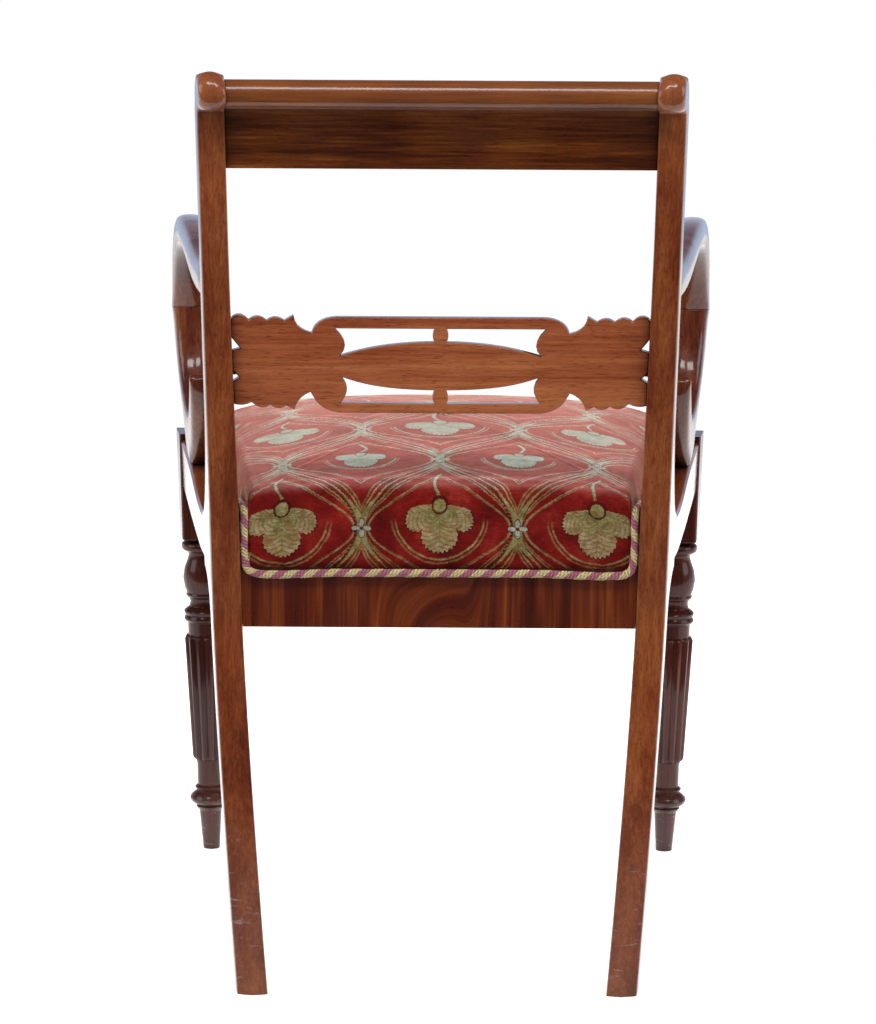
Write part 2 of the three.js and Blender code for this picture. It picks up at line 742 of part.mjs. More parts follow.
// The support swings back and down onto the rail, and its tail turns up behind.
// Shares run back from the front of the arm to the tail, and up from the rail to the joint.
const supportUprightShares = [[0, 1], [0.016, 0.79], [0.07, 0.58], [0.162, 0.42], [0.265, 0.245]];
const supportHollowShares = [
  [0.173, 1], [0.189, 0.811], [0.232, 0.636], [0.3135, 0.49], [0.411, 0.385], [0.492, 0.332], [0.584, 0.322],
  [0.67, 0.36], [0.735, 0.434], [0.79, 0.51], [0.845, 0.585], [0.895, 0.64], [0.945, 0.667], [0.975, 0.662],
];
const supportTailShares = [
  [0.765, 0.105], [0.85, 0.215], [0.925, 0.35], [0.975, 0.475], [0.998, 0.575], [0.992, 0.64],
];

function supportPoint([along, up]) {
  return [mix(-armFront, -supportTailReach, along), mix(supportSeatZ + fit, armJointHeight, up)];
}

function buildArmSupport(side) {
  const onRail = (y) => [y, sideRailTop(y) + fit];
  const outer = [
    ...supportUprightShares.map(supportPoint),
    onRail(-supportBaseFront), onRail(supportBaseMiddle), onRail(-supportBaseBack),
    ...supportTailShares.map(supportPoint),
  ];
  const hollow = supportHollowShares.map(supportPoint);
  const baseAt = supportUprightShares.length;
  const fine = supportSteps;
  const inner = smoothLine(hollow, (hollow.length - 1) * fine);
  const upright = smoothLine(outer.slice(0, baseAt + 1), baseAt * fine);
  const tail = smoothLine(outer.slice(baseAt + 2), (outer.length - baseAt - 3) * fine);
  const between = (a, b) => [(a[0] + b[0]) / 2, (a[1] + b[1]) / 2];
  const base = [between(outer[baseAt], outer[baseAt + 1]), outer[baseAt + 1], between(outer[baseAt + 1], outer[baseAt + 2])];
  const edge = [...upright, ...base, ...tail];
  const rings = edge.map((point, i) => {
    const down = Math.min(i / (baseAt * fine), 1);
    const width = mix(armFrontWidth, supportBaseWidth, down);
    return limbRing(side, inner[i], point, sideRailSetIn * down, width);
  });
  return carve(loft(rings), [], [armDowel(side, fit), supportDowel(side, fit)]);
}

// Glue blocks in the corners under the seat
function prism(plan, bottom, top) {
  return loft([bottom, top].map((z) => plan.map((point) => point(z))));
}

function buildBackCornerBlock(side) {
  const y = -backRailFace - railWallThickness - ledgeWidth - fit;
  const inset = stileSeatThickness + 2 * fit;
  const plan = [
    (z) => sidePoint(side, y, z, inset),
    (z) => sidePoint(side, y - cornerBlockLeg, z, inset),
    (z) => sidePoint(side, y, z, inset + cornerBlockLeg),
  ];
  return prism(plan, cornerBlockTop - cornerBlockHeight, cornerBlockTop);
}

function buildFrontCornerBlock(side) {
  const inset = sideRailSetIn + sideRailThickness + ledgeWidth + fit;
  const y = frontRailInner + fit;
  const square = (at, extra) => (z) => new THREE.Vector3(side * (squareX(at, z, squareWidth) - fit - extra), at, z);
  const plan = [
    (z) => sidePoint(side, squareBack + fit + cornerBlockLeg, z, inset),
    (z) => sidePoint(side, squareBack + fit, z, inset),
    square(squareBack + fit, 0),
    square(y, 0),
    square(y, cornerBlockLeg),
  ];
  return prism(plan, cornerBlockTop - cornerBlockHeight, cornerBlockTop);
}

// Webbing: each strap goes over one strap and under the next
const strapLow = ledgeLevel + fit + strapThickness / 2;
const strapHigh = strapLow + strapThickness + strapGap;
const wallInset = sideRailSetIn + sideRailThickness;
const backWallY = -backRailFace - railWallThickness;
const frontWallY = frontRailFace + railWallThickness;

function evenPlaces(from, to, count) {
  return Array.from({ length: count }, (_, i) => mix(from, to, (i + 0.5) / count));
}

const webHalfWidth = outerX(backWallY, ledgeLevel) - wallInset;
const lengthwisePlaces = evenPlaces(-webHalfWidth, webHalfWidth, lengthwiseStraps);
const crosswisePlaces = evenPlaces(backWallY, frontWallY, crosswiseStraps);

function buildStrap(start, end, crossings, firstOver, pointAt) {
  const stations = [[start, strapLow]];
  crossings.forEach((place, i) => {
    const level = i % 2 === firstOver ? strapHigh : strapLow;
    const reach = Math.sign(end - start) * (strapWidth / 2 + strapGap);
    stations.push([place - reach, level], [place + reach, level]);
  });
  stations.push([end, strapLow]);
  const half = strapWidth / 2;
  const thick = strapThickness / 2;
  return loft(stations.map(([along, z]) => {
    return [[-half, -thick], [half, -thick], [half, thick], [-half, thick]].map(([across, up]) => pointAt(along, across, z + up));
  }));
}

function buildLengthwiseStrap(x, index) {
  const start = backWallY - overrun;
  const end = frontWallY + overrun;
  return buildStrap(start, end, crosswisePlaces, index % 2, (along, across, z) => new THREE.Vector3(x + across, along, z));
}

function buildCrosswiseStrap(y, index) {
  const end = outerX(y + strapWidth / 2, ledgeLevel) - wallInset - overrun;
  return buildStrap(-end, end, lengthwisePlaces, (index + 1) % 2, (along, across, z) => new THREE.Vector3(along, y + across, z));
}

function seatWellPlan(gap) {
  const corner = (y, inset) => [y, inset + gap];
  const half = [
    corner(backWallY - gap, wallInset),
    corner(squareBack + gap, wallInset),
    corner(squareBack + gap, squareSetIn + squareWidth + squareRound),
    corner(frontWallY + gap, squareSetIn + squareWidth + squareRound),
  ];
  return [...half.map((c) => [1, ...c]), ...half.map((c) => [-1, ...c]).reverse()];
}

function seatWellSlab(gap, bottom, top) {
  const ring = (z) => seatWellPlan(gap).map(([side, y, inset]) => sidePoint(side, y, z, inset));
  return loft([ring(bottom), ring(top)]);
}

const hessianBottom = strapHigh + strapThickness / 2 + fit;
const stuffingBottom = hessianBottom + hessianThickness + fit;

// The seat's outline in plan at the level of its cord: drawn in around the stiles and the leg squares
const cordGap = 3 * fit;
const cordInset = sideRailSetIn + supportBaseWidth + cordGap + cordRadius;
const coverInset = cordInset + cordRadius + 2 * cordGap;
const squareCordInset = squareSetIn + squareWidth + squareRound + cordGap + cordRadius;
const squareCoverInset = squareCordInset + cordRadius + 2 * cordGap;
const notchY = squareBack + 2 * cordRadius + 4 * cordGap;
const coverBackY = -backRailFace + coverThickness + fit;
const coverFrontY = frontRailFace - coverThickness - fit;

function coverHalfWidth(y) {
  return outerX(y, cordTurnLevel) - (y < notchY ? squareCoverInset : coverInset);
}

function cordHeight(y) {
  const onRail = sideRailTop(y) + cordRadius + cordGap;
  const share = (-lugReach - y) / lugReach + 1;
  if (y < squareBack) {
    return cordTurnLevel;
  }
  return share > 1 ? onRail : mix(Math.max(cordTurnLevel, onRail), onRail, Math.max(share, 0) ** cordTurnPower);
}

// Points round the seat's outline; those of the back and front runs carry the skirt.
function coverOutline(offset) {
  const back = coverBackY - offset;
  const front = coverFrontY + offset;
  const side = (y) => coverHalfWidth(y) - offset;
  const steps = cushionSidePoints;
  const along = (from, to, count, at) => Array.from({ length: count }, (_, i) => at(mix(from, to, i / (count - 1))));
  const left = [
    ...along(back - fit / 2, notchY + offset, steps, (y) => ({ x: side(y), y, skirt: false })),
    { x: side(notchY - overrun), y: notchY + offset, skirt: false },
    { x: side(front), y: front + fit / 2, skirt: false },
  ];
  const frontRun = along(side(front), -side(front), steps, (x) => ({ x, y: front, skirt: true }));
  const right = left.map((p) => ({ ...p, x: -p.x })).reverse();
  const backRun = along(-side(back), side(back), steps, (x) => ({ x, y: back, skirt: true }));
  return [...left, ...frontRun, ...right, ...backRun];
}

// Height of the crowned top as a share, from the back to the front of the seat
const crownShares = [
  [0, 0.12], [0.03, 0.3], [0.1, 0.48], [0.24, 0.7], [0.42, 0.89], [0.64, 1], [0.82, 0.95], [0.93, 0.74],
  [0.98, 0.42], [1, 0.2],
];

function crownHeight(x, y) {
  const across = Math.min(Math.abs(x) / coverHalfWidth(Math.max(y, notchY)), 1);
  const place = Math.min(Math.max((coverBackY - y) / (coverBackY - coverFrontY), 0), 1);
  const fullness = (1 - crownEdgeShare * across ** crownPower) ** crownRoundness;
  return shoulderLevel + (crownTop - shoulderLevel) * fullness * smoothShare(crownShares, place);
}

// Rings from the lower edge up the drawn-in wall and over the crown
function cushionRings(offset, footOf) {
  const outer = coverOutline(0);
  const outline = coverOutline(offset);
  const middleY = (coverBackY + coverFrontY) / 2;
  const seamLevel = (p) => (p.skirt ? cordTurnLevel : cordHeight(p.y) + cordRadius);
  const wall = outline.map((p) => new THREE.Vector3(p.x, p.y, footOf(p)));
  const seam = outline.map((p) => new THREE.Vector3(p.x, p.y, Math.max(seamLevel(p) - offset, footOf(p) + fit)));
  const bulge = outline.map((p, i) => {
    const place = (coverBackY - outer[i].y) / (coverBackY - coverFrontY);
    const swell = sideBulge * Math.sqrt(Math.max(Math.sin(Math.PI * place), 0));
    const out = p.skirt ? 0 : swell / Math.hypot(p.x, p.y - middleY);
    const level = (seamLevel(outer[i]) + crownHeight(outer[i].x, outer[i].y)) / 2;
    return new THREE.Vector3(p.x * (1 + out), mix(middleY, p.y, 1 + out), level + sideBulge / 2 - offset);
  });
  const scaleShares = [0.975, 0.93, 0.85, 0.7, 0.48, 0.24];
  const crown = scaleShares.map((scale) => outline.map((p, i) => {
    const level = crownHeight(outer[i].x * scale, mix(middleY, outer[i].y, scale));
    return new THREE.Vector3(p.x * scale, mix(middleY, p.y, scale), level - offset);
  }));
  return [wall, seam, bulge, ...crown];
}

function buildSeatCover() {
  const foot = (p) => (p.skirt ? skirtBottom : cordHeight(p.y) - cordRadius / 2);
  const outside = cushionRings(0, foot);
  const inside = cushionRings(coverThickness, foot).reverse();
  return loft([...inside, ...outside], false, inside.length);
}

function buildStuffing() {
  const upper = loft(cushionRings(coverThickness + 4 * fit, () => railTop + 2 * fit));
  const corePlan = coverOutline(coverThickness + 3 * fit).filter((p) => !p.skirt);
  const core = [stuffingBottom, cordTurnLevel].map((z) => corePlan.map((p) => {
    const y = Math.min(Math.max(p.y, frontWallY + 2 * fit), backWallY - 2 * fit);
    return new THREE.Vector3(p.x, y, z);
  }));
  return carve(upper, [loft(core)], []);
}

// The trimming cord: along the back rail, up beside the stile, forward on the side rail,
// round the leg's square and down to the front rail
function cordRoute() {
  const runZ = skirtBottom - cordRadius - cordGap;
  const backY = -backRailFace + cordRadius + cordGap;
  const frontY = frontRailFace - cordRadius - cordGap;
  const turn = cordTurnReach;
  const beside = (y, z) => sidePoint(1, y, z, cordInset);
  const besideSquare = (y, z) => sidePoint(1, y, z, squareCordInset);
  const cornerY = squareBack + cordRadius + cordGap;
  const half = [
    new THREE.Vector3(0, backY, runZ),
    new THREE.Vector3(beside(backY, runZ).x / 2, backY, runZ),
    new THREE.Vector3(beside(backY, runZ).x - turn, backY, runZ),
    beside(backY, runZ + turn),
    beside(backY, cordTurnLevel - turn),
    beside(backY - turn, cordHeight(0)),
    ...cordLugShares.map((share) => beside(-lugReach * share, cordHeight(-lugReach * share))),
    ...[0.15, 0.3, 0.45, 0.6, 0.75, 0.9].map((share) => {
      const y = mix(sideRailBackEnd, sideRailFrontEnd, share);
      return beside(y, cordHeight(y));
    }),
    beside(cornerY + turn, cordHeight(cornerY)),
    sidePoint(1, cornerY, cordHeight(cornerY), (cordInset + squareCordInset) / 2),
    besideSquare(cornerY - turn, cordHeight(cornerY)),
    besideSquare(frontY + turn, cordTurnLevel),
    besideSquare(frontY, cordTurnLevel - turn),
    besideSquare(frontY, runZ + turn),
    new THREE.Vector3(besideSquare(frontY, runZ).x - turn, frontY, runZ),
    new THREE.Vector3(besideSquare(frontY, runZ).x / 2, frontY, runZ),
    new THREE.Vector3(0, frontY, runZ),
  ];
  const other = half.slice(1, -1).reverse().map((p) => new THREE.Vector3(-p.x, p.y, p.z));
  return new THREE.CatmullRomCurve3([...half, ...other], true, 'centripetal');
}

// The tube's sections are carried along the route without twist, and what is left over at the
// end of the loop is shared out among them.
function buildCord() {
  const route = cordRoute();
  const steps = route.points.length * cordStepsPerPoint;
  const tangents = Array.from({ length: steps + 1 }, (_, i) => route.getTangent((i % steps) / steps));
  const normals = [new THREE.Vector3(0, 0, 1)];
  for (const tangent of tangents.slice(1)) {
    const carried = normals[normals.length - 1].clone();
    normals.push(carried.addScaledVector(tangent, -carried.dot(tangent)).normalize());
  }
  const turned = new THREE.Vector3().crossVectors(normals[steps], normals[0]).dot(tangents[0]);
  const leftOver = Math.atan2(turned, normals[steps].dot(normals[0]));
  const rings = Array.from({ length: steps }, (_, i) => {
    const centre = route.getPoint(i / steps);
    const first = normals[i].clone().applyAxisAngle(tangents[i], (leftOver * i) / steps);
    return Array.from({ length: cordSides }, (_, k) => {
      const out = first.clone().applyAxisAngle(tangents[i], (k / cordSides) * 2 * Math.PI);
      return centre.clone().addScaledVector(out, cordRadius);
    });
  });
  return loft(rings, true);
}

for (const [word, side] of sides) {
  addPiece(`${word}_stile`, buildStile(side), mahogany);
  addPiece(`${word}_side_rail`, buildSideRail(side), mahogany);
  addPiece(`${word}_front_leg`, buildFrontLeg(side), darkMahogany);
  addPiece(`${word}_arm`, buildArm(side), mahogany);
  addPiece(`${word}_arm_support`, buildArmSupport(side), mahogany);
  addPiece(`${word}_arm_dowel`, armDowel(side, 0), beech);
  addPiece(`${word}_support_dowel`, supportDowel(side, 0), beech);
  addPiece(`back_${word}_corner_block`, buildBackCornerBlock(side), beech);
  addPiece(`front_${word}_corner_block`, buildFrontCornerBlock(side), beech);
}
addPiece('crest_rail', buildCrestRail(), mahogany);
addPiece('splat', buildSplat(), mahogany);
addPiece('back_rail', buildBackRail(), veneer);
addPiece('front_rail', buildFrontRail(), beech);
lengthwisePlaces.forEach((x, i) => addPiece(`lengthwise_strap_${i + 1}`, buildLengthwiseStrap(x, i), jute));
crosswisePlaces.forEach((y, i) => addPiece(`crosswise_strap_${i + 1}`, buildCrosswiseStrap(y, i), jute));
addPiece('hessian', seatWellSlab(fit, hessianBottom, hessianBottom + hessianThickness), jute);
addPiece('seat_stuffing', buildStuffing(), horsehair);
addPiece('seat_cover', buildSeatCover(), velvet);
addPiece('seat_cord', buildCord(), silkCord);

// The origin is on the floor, under the middle of the chair's box.
const box = new THREE.Box3().setFromObject(chair);
const middle = box.getCenter(new THREE.Vector3());
chair.position.set(-middle.x, -middle.y, -box.min.z);
chair.updateMatrixWorld(true);

export default chair;
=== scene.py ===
# %% [markdown]
# # An elbow chair with an over-stuffed seat
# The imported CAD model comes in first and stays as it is: it fixes where every piece of the
# chair goes. What is made here is the finish of the wood, and the soft parts that a CAD
# solid can only stand for: the velvet seat, its horsehair, its twisted cord and its webbing.
# All lengths are in metres, +Z is up and the sitter faces -Y.

# %% The frame
import math

import bpy
import numpy as np
from mathutils import Matrix, Vector


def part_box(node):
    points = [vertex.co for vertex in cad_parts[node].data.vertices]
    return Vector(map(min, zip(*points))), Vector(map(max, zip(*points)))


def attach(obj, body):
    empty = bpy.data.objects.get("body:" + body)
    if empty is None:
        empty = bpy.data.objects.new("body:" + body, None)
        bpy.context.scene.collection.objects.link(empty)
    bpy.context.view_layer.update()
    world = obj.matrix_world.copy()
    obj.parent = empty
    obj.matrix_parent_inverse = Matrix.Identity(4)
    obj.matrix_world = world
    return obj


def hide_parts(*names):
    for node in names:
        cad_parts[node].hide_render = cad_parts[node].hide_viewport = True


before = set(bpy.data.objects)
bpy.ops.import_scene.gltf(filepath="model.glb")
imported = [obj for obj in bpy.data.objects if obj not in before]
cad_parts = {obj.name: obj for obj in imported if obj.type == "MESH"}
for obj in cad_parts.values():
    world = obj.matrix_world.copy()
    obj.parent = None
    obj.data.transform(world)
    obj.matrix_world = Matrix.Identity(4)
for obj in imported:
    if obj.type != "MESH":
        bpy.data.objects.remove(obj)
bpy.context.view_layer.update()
scene = bpy.context.scene
scene.view_settings.view_transform = "Standard"

# %% [markdown]
# ## The camera
# The picture was taken from behind the chair, from about seat-back height and a few metres
# away, with a long lens, so the lines that run away from the eye hardly close up. The lens
# is worked out from the picture: a focal length of 3815 pixels on a picture 1024 pixels high.

# %% The camera
MM = 0.001
PICTURE_HEIGHT = 1024
FOCAL_PIXELS = 3815
SENSOR = 36
LOOK_DOWN = math.radians(9.872)
ROLL = math.radians(0.32)
OFF_CENTRE_PIXELS = 1.6
CAMERA_DISTANCE, CAMERA_HEIGHT = 3.5, 1.048
BACK_RAIL_INSET = 14
BACK_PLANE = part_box("back_rail")[1].y + BACK_RAIL_INSET * MM

camera_data = bpy.data.cameras.new("camera")
camera_data.sensor_width = SENSOR
camera_data.lens = FOCAL_PIXELS / PICTURE_HEIGHT * SENSOR
camera_data.shift_x = -OFF_CENTRE_PIXELS / PICTURE_HEIGHT
camera_data.clip_end = 50
camera = bpy.data.objects.new("camera", camera_data)
scene.collection.objects.link(camera)
camera.matrix_world = (
    Matrix.Translation((0, BACK_PLANE + CAMERA_DISTANCE, CAMERA_HEIGHT))
    @ Matrix.Rotation(math.pi, 4, "Z")
    @ Matrix.Rotation(math.pi / 2 - LOOK_DOWN, 4, "X")
    @ Matrix.Rotation(ROLL, 4, "Z")
)
scene.camera = camera
print("lens", round(camera_data.lens, 1), "mm, camera at", [round(v, 3) for v in camera.location])

# %% [markdown]
# ## Nodes and colours
# Every finish below is a few shader nodes. One small function adds a node, sets it and links
# it. What it returns can be used in a written formula, where each sign adds a Math node, so
# a finish reads like the sum that it is. Another function turns the colour that the eye sees
# on a screen into the linear numbers that a shader counts with.

# %% Small tools for finishes


def linear(colour):
    """Linear RGBA of an sRGB hex colour: c / 12.92 near black, else ((c + 0.055) / 1.055)^2.4."""
    parts = np.array([int(colour[i : i + 2], 16) / 255 for i in (1, 3, 5)])
    light = np.where(parts <= 0.04045, parts / 12.92, ((parts + 0.055) / 1.055) ** 2.4)
    return (*light.tolist(), 1.0)


class Value:
    """What a node gives out, for use in formulas and as another node's input."""

    def __init__(self, socket):
        self.socket = socket

    def out(self, key):
        """Another output of the same node."""
        return Value(self.socket.node.outputs[key])

    def __add__(self, other):
        return calc("ADD", self, other)

    def __sub__(self, other):
        return calc("SUBTRACT", self, other)

    def __rsub__(self, other):
        return calc("SUBTRACT", other, self)

    def __mul__(self, other):
        return calc("MULTIPLY", self, other)

    def __truediv__(self, other):
        return calc("DIVIDE", self, other)

    def __pow__(self, other):
        return calc("POWER", self, other)

    def __abs__(self):
        return calc("ABSOLUTE", self)


def fill(node, inputs):
    """Gives each named or numbered socket of a node a value, or links a node's output to it."""
    for socket, value in inputs.items():
        if isinstance(value, Value):
            node.id_data.links.new(value.socket, node.inputs[socket])
        else:
            node.inputs[socket].default_value = value


def add(tree, kind, inputs=None, **settings):
    """Adds a node with its settings and links, and returns its first output, if it has one."""
    node = tree.nodes.new(kind)
    for name, value in settings.items():
        setattr(node, name, value)
    fill(node, inputs or {})
    return Value(node.outputs[0]) if node.outputs else None


def calc(operation, *values):
    """One sum on numbers and outputs, in the tree that the outputs belong to."""
    tree = next(value.socket.id_data for value in values if isinstance(value, Value))
    return add(tree, "ShaderNodeMath", dict(enumerate(values)), operation=operation)


def ramp(value, stops):
    """Colours through (place, hex colour) stops."""
    colours = add(value.socket.id_data, "ShaderNodeValToRGB", {0: value})
    elements = colours.socket.node.color_ramp.elements
    while len(elements) < len(stops):
        elements.new(0.5)
    for element, (place, colour) in zip(elements, stops):
        element.position = place
        element.color = linear(colour)
    return colours


def blend_colour(share, first, second, kind="MIX"):
    """First where share is 0, second where it is 1; each is a hex colour or an output."""
    tree = first.socket.id_data if isinstance(first, Value) else share.socket.id_data
    colours = (linear(colour) if isinstance(colour, str) else colour for colour in (first, second))
    inputs = dict(zip((0, 6, 7), (share, *colours)))
    return add(tree, "ShaderNodeMix", inputs, data_type="RGBA", blend_type=kind).out(2)


def xyz(place):
    """The three outputs that hold a place's or a direction's x, y and z."""
    parts = add(place.socket.id_data, "ShaderNodeSeparateXYZ", {0: place})
    return [parts.out(k) for k in range(3)]


def step_between(value, low, high):
    """0 below low, 1 above high and a smooth rise between them."""
    inputs = {0: value, 1: low, 2: high}
    return add(value.socket.id_data, "ShaderNodeMapRange", inputs, interpolation_type="SMOOTHSTEP")


def noise(place, scale, detail=3.0, roughness=0.5):
    """Smooth noise on a place; scale is in spots to the metre, along each axis or for all three."""
    tree = place.socket.id_data
    scale = scale if isinstance(scale, list) else [scale] * 3
    stretched = add(tree, "ShaderNodeMapping", {"Vector": place, "Scale": scale})
    inputs = {"Vector": stretched, "Scale": 1.0, "Detail": detail, "Roughness": roughness}
    return add(tree, "ShaderNodeTexNoise", inputs)


def between(value, low, high):
    """The middle of a noise, from 0.3 to 0.7, spread from low to high."""
    inputs = {0: value, 1: 0.3, 2: 0.7, 3: low, 4: high}
    return add(value.socket.id_data, "ShaderNodeMapRange", inputs)


def hollow(tree, reach, low, high, samples=6):
    """1 where more than the high share of the sky is hidden by what stands within the reach."""
    sky = add(tree, "ShaderNodeAmbientOcclusion", {"Distance": reach}, samples=samples)
    return step_between(1.0 - sky.out("AO"), low, high)


def relief(height, depth, strength, normal=None):
    """A Normal that shows a height as bumps of the given depth."""
    inputs = {"Height": height, "Distance": depth, "Strength": strength}
    if normal:
        inputs["Normal"] = normal
    return add(height.socket.id_data, "ShaderNodeBump", inputs)


def new_material(name):
    """An empty material, its tree and its shader."""
    material = bpy.data.materials.new(name)
    material.use_nodes = True
    tree = material.node_tree
    return material, tree, tree.nodes["Principled BSDF"]


def new_group(name):
    """An empty set of geometry nodes, and what goes into it."""
    group = bpy.data.node_groups.new(name, "GeometryNodeTree")
    for way_in_out in ("INPUT", "OUTPUT"):
        group.interface.new_socket("Geometry", in_out=way_in_out, socket_type="NodeSocketGeometry")
    return group, add(group, "NodeGroupInput")


print("tools ready")

# %% [markdown]
# ## French-polished mahogany
# The frame is Cuban or Honduras mahogany: red-brown, with a long straight grain, soft darker
# stripes a centimetre or two wide, and short dark pores that run with the grain. It was
# rubbed to a gloss with shellac, which lies thin on the edges and wears pale there. The
# grain is noise stretched along one axis, because that costs nothing and stays sharp at any
# distance. Real pores are 0.2 mm wide; they are drawn 0.8 mm wide so that they show.

# %% Mahogany in three grain directions
GRAIN_AXES = {"x": 0, "y": 1, "z": 2}


def along_grain(axis, across, length):
    """Scale of a noise whose spots are 'length' long on the grain axis and 'across' wide."""
    scale = [1 / across] * 3
    scale[GRAIN_AXES[axis]] = 1 / length
    return scale


def polished_wood(
    name, axis, stops, wear, gloss=0.3, film=0.8, seam_reach=3.5 * MM, painted_edge_shade=0, dust_and_reflection=0, lit_above=0
):
    """Stretched noise for stripes, fibres and pores, painted shade in the corners, dark joint lines
    with painted shade in the seams and grooves, a paler worn edge, and a film of shellac. The last
    three settings give how dark the painted shade on the sawn edges is, the height up to which the
    feet are scuffed and greyed, partly with dust and partly with a painted reflection of the floor,
    and the height above which the wood is painted paler, as if more light falls there."""
    material, tree, shader = new_material(name)
    place = add(tree, "ShaderNodeTexCoord").out("Object")
    stripes = noise(place, along_grain(axis, 22 * MM, 0.5), 3.0, 0.55)
    fibres = noise(place, along_grain(axis, 2.4 * MM, 0.07), 4.0, 0.65)
    pores = noise(place, along_grain(axis, 0.8 * MM, 9 * MM), 2.0, 0.5)
    cloud = noise(place, 9, 2.0)
    figure = (cloud - 0.5) * 0.35 + (fibres * 0.45 + stripes * 0.55)
    colour = blend_colour(step_between(pores, 0.56, 0.68) * 0.5, ramp(figure, stops), "#2a0f05")
    rounded = add(tree, "ShaderNodeBevel", {"Radius": 1.3 * MM}, samples=4)
    flat = add(tree, "ShaderNodeNewGeometry").out("Normal")
    facing = add(tree, "ShaderNodeVectorMath", {0: rounded, 1: flat}, operation="DOT_PRODUCT")
    edge = step_between(1.0 - facing.out("Value"), 0.02, 0.2)
    colour = blend_colour(edge * step_between(cloud, 0.35, 0.65) * 0.45, colour, wear)
    # painted shade: wood in corners and under parts, within 28 mm of other surfaces, is painted dark
    colour = blend_colour(hollow(tree, 28 * MM, 0.12, 0.75) * 0.8, colour, "#1c0a04")
    # dark joint lines, and painted shade in narrow seams, inner corners and grooves
    colour = blend_colour(hollow(tree, seam_reach, 0.22, 0.55) * 0.9, colour, "#0c0402")
    up = xyz(place)[2]
    if lit_above:
        # painted light: above this height the wood is painted paler, as if more light falls there
        painted_light = step_between(up, lit_above - 2 * MM, lit_above + 4 * MM)
        colour = blend_colour(painted_light * 0.3, colour, "#a8653c")
    if painted_edge_shade:
        # painted shade on the sawn edges, the faces that look neither front nor back
        facing_back = step_between(abs(xyz(flat)[1]), 0.3, 0.7)
        colour = blend_colour((1.0 - facing_back) * painted_edge_shade, colour, "#24140f")
    if dust_and_reflection:
        # dust on the feet, and in the same grey a painted reflection of the floor
        dust_and_reflection_share = 1.0 - step_between(up, 0.01, dust_and_reflection)
        scratches = step_between(noise(place, [50, 50, 260], 4.0, 0.7), 0.6, 0.68) * dust_and_reflection_share
        colour = blend_colour(dust_and_reflection_share * 0.22, colour, "#86706a")
        colour = blend_colour(scratches * 0.5, colour, "#a39a9c")
    surface = relief(pores * -0.5 + fibres * 0.5, 0.2 * MM, 0.2, rounded)
    fill(shader, {"Base Color": colour, "Normal": surface, "Coat Normal": surface})
    fill(shader, {"Roughness": between(noise(place, 14, 3.0, 0.6), gloss - 0.06, gloss + 0.12)})
    fill(shader, {"Specular IOR Level": 0.2, "Coat Weight": film, "Coat Roughness": 0.09})
    return material


# The stiles and side rails are a warm red-brown. The stiles' ears are painted paler orange, as if
# more light falls on them, and shoes and mops have scratched the feet, which are greyed with dust and
# a painted reflection of the floor.
WARM = [(0.3, "#55220c"), (0.43, "#733215"), (0.55, "#8b4722"), (0.7, "#a66033")]
upright_mahogany = polished_wood(
    "mahogany_polished_upright", "z", WARM, "#b5713f", dust_and_reflection=0.22, lit_above=0.818
)
lying_mahogany = polished_wood("mahogany_polished_lying", "y", WARM, "#b5713f")
# The crest rail is cut from darker, streaky wood, and its roll is painted paler like the ears, as if
# more light falls on it.
CREST = [(0.3, "#2e0e02"), (0.43, "#532105"), (0.55, "#7a3c0e"), (0.72, "#ab6a28")]
crest_mahogany = polished_wood("mahogany_polished_crest", "x", CREST, "#c08a55", lit_above=0.822)
# The splat is paler and drier, and its sawn edges, which face neither front nor back, are painted
# dark as shade.
SPLAT = [(0.3, "#7e3519"), (0.43, "#9e502c"), (0.55, "#b4663c"), (0.7, "#c67d4c")]
splat_mahogany = polished_wood(
    "mahogany_polished_splat", "x", SPLAT, "#c98a5c", gloss=0.36, painted_edge_shade=0.85
)
# Hands have kept the arms and their supports dark and glossy.
LIMB = [(0.3, "#33100a"), (0.43, "#552213"), (0.55, "#71371f"), (0.7, "#905030")]
limb_mahogany = polished_wood("mahogany_polished_limb", "z", LIMB, "#a5683f")
# Polish and dirt have settled in the turned legs; painted shade is darkest in the grooves between the
# reeds.
DARK = [(0.3, "#2c0d07"), (0.45, "#471a0f"), (0.58, "#5f2818"), (0.72, "#7e412a")]
turned_mahogany = polished_wood(
    "mahogany_polished_turned", "z", DARK, "#8a5943", film=0.4, dust_and_reflection=0.1, seam_reach=7 * MM
)
print("six cuts of mahogany")

# %% [markdown]
# ## Veneer and beech
# The back rail shows a sawn veneer with its grain upright, whose lines rise to a faint arch
# in the middle: wood from below a fork. The parts that nobody sees are beech, planed and
# never polished.

# %% Veneer with an arched figure
ARCH_LEVEL = 0.315


def arched_veneer(name):
    """Upright stripes that turn into arches: near the middle the noise is read at the distance from
    a point on the rail's middle line, sqrt(x^2 + (z - level)^2), in place of x."""
    material, tree, shader = new_material(name)
    place = add(tree, "ShaderNodeTexCoord").out("Object")
    across, _, up = xyz(place)
    middle = 1.0 - step_between(abs(across), 0.02, 0.075)
    arch = calc("SQRT", across**2.0 + (up - ARCH_LEVEL) ** 2.0)
    bent = add(tree, "ShaderNodeMix", {0: middle * 0.7, 2: across, 3: arch})
    line = add(tree, "ShaderNodeCombineXYZ", {0: bent, 1: 0.0, 2: up})
    stripes = noise(line, [55, 1, 2.2], 3.0, 0.6)
    fibres = noise(line, [420, 1, 9], 4.0, 0.6)
    stops = [(0.32, "#360c02"), (0.46, "#581c05"), (0.55, "#732e09"), (0.68, "#964c14")]
    fill(shader, {"Base Color": ramp(fibres * 0.35 + stripes * 0.65, stops)})
    fill(shader, {"Roughness": between(noise(place, 16, 3.0, 0.6), 0.22, 0.38)})
    fill(shader, {"Normal": relief(fibres, 0.2 * MM, 0.2)})
    fill(shader, {"Coat Weight": 0.7, "Coat Roughness": 0.09})
    return material


veneer = arched_veneer("mahogany_veneer_polished")


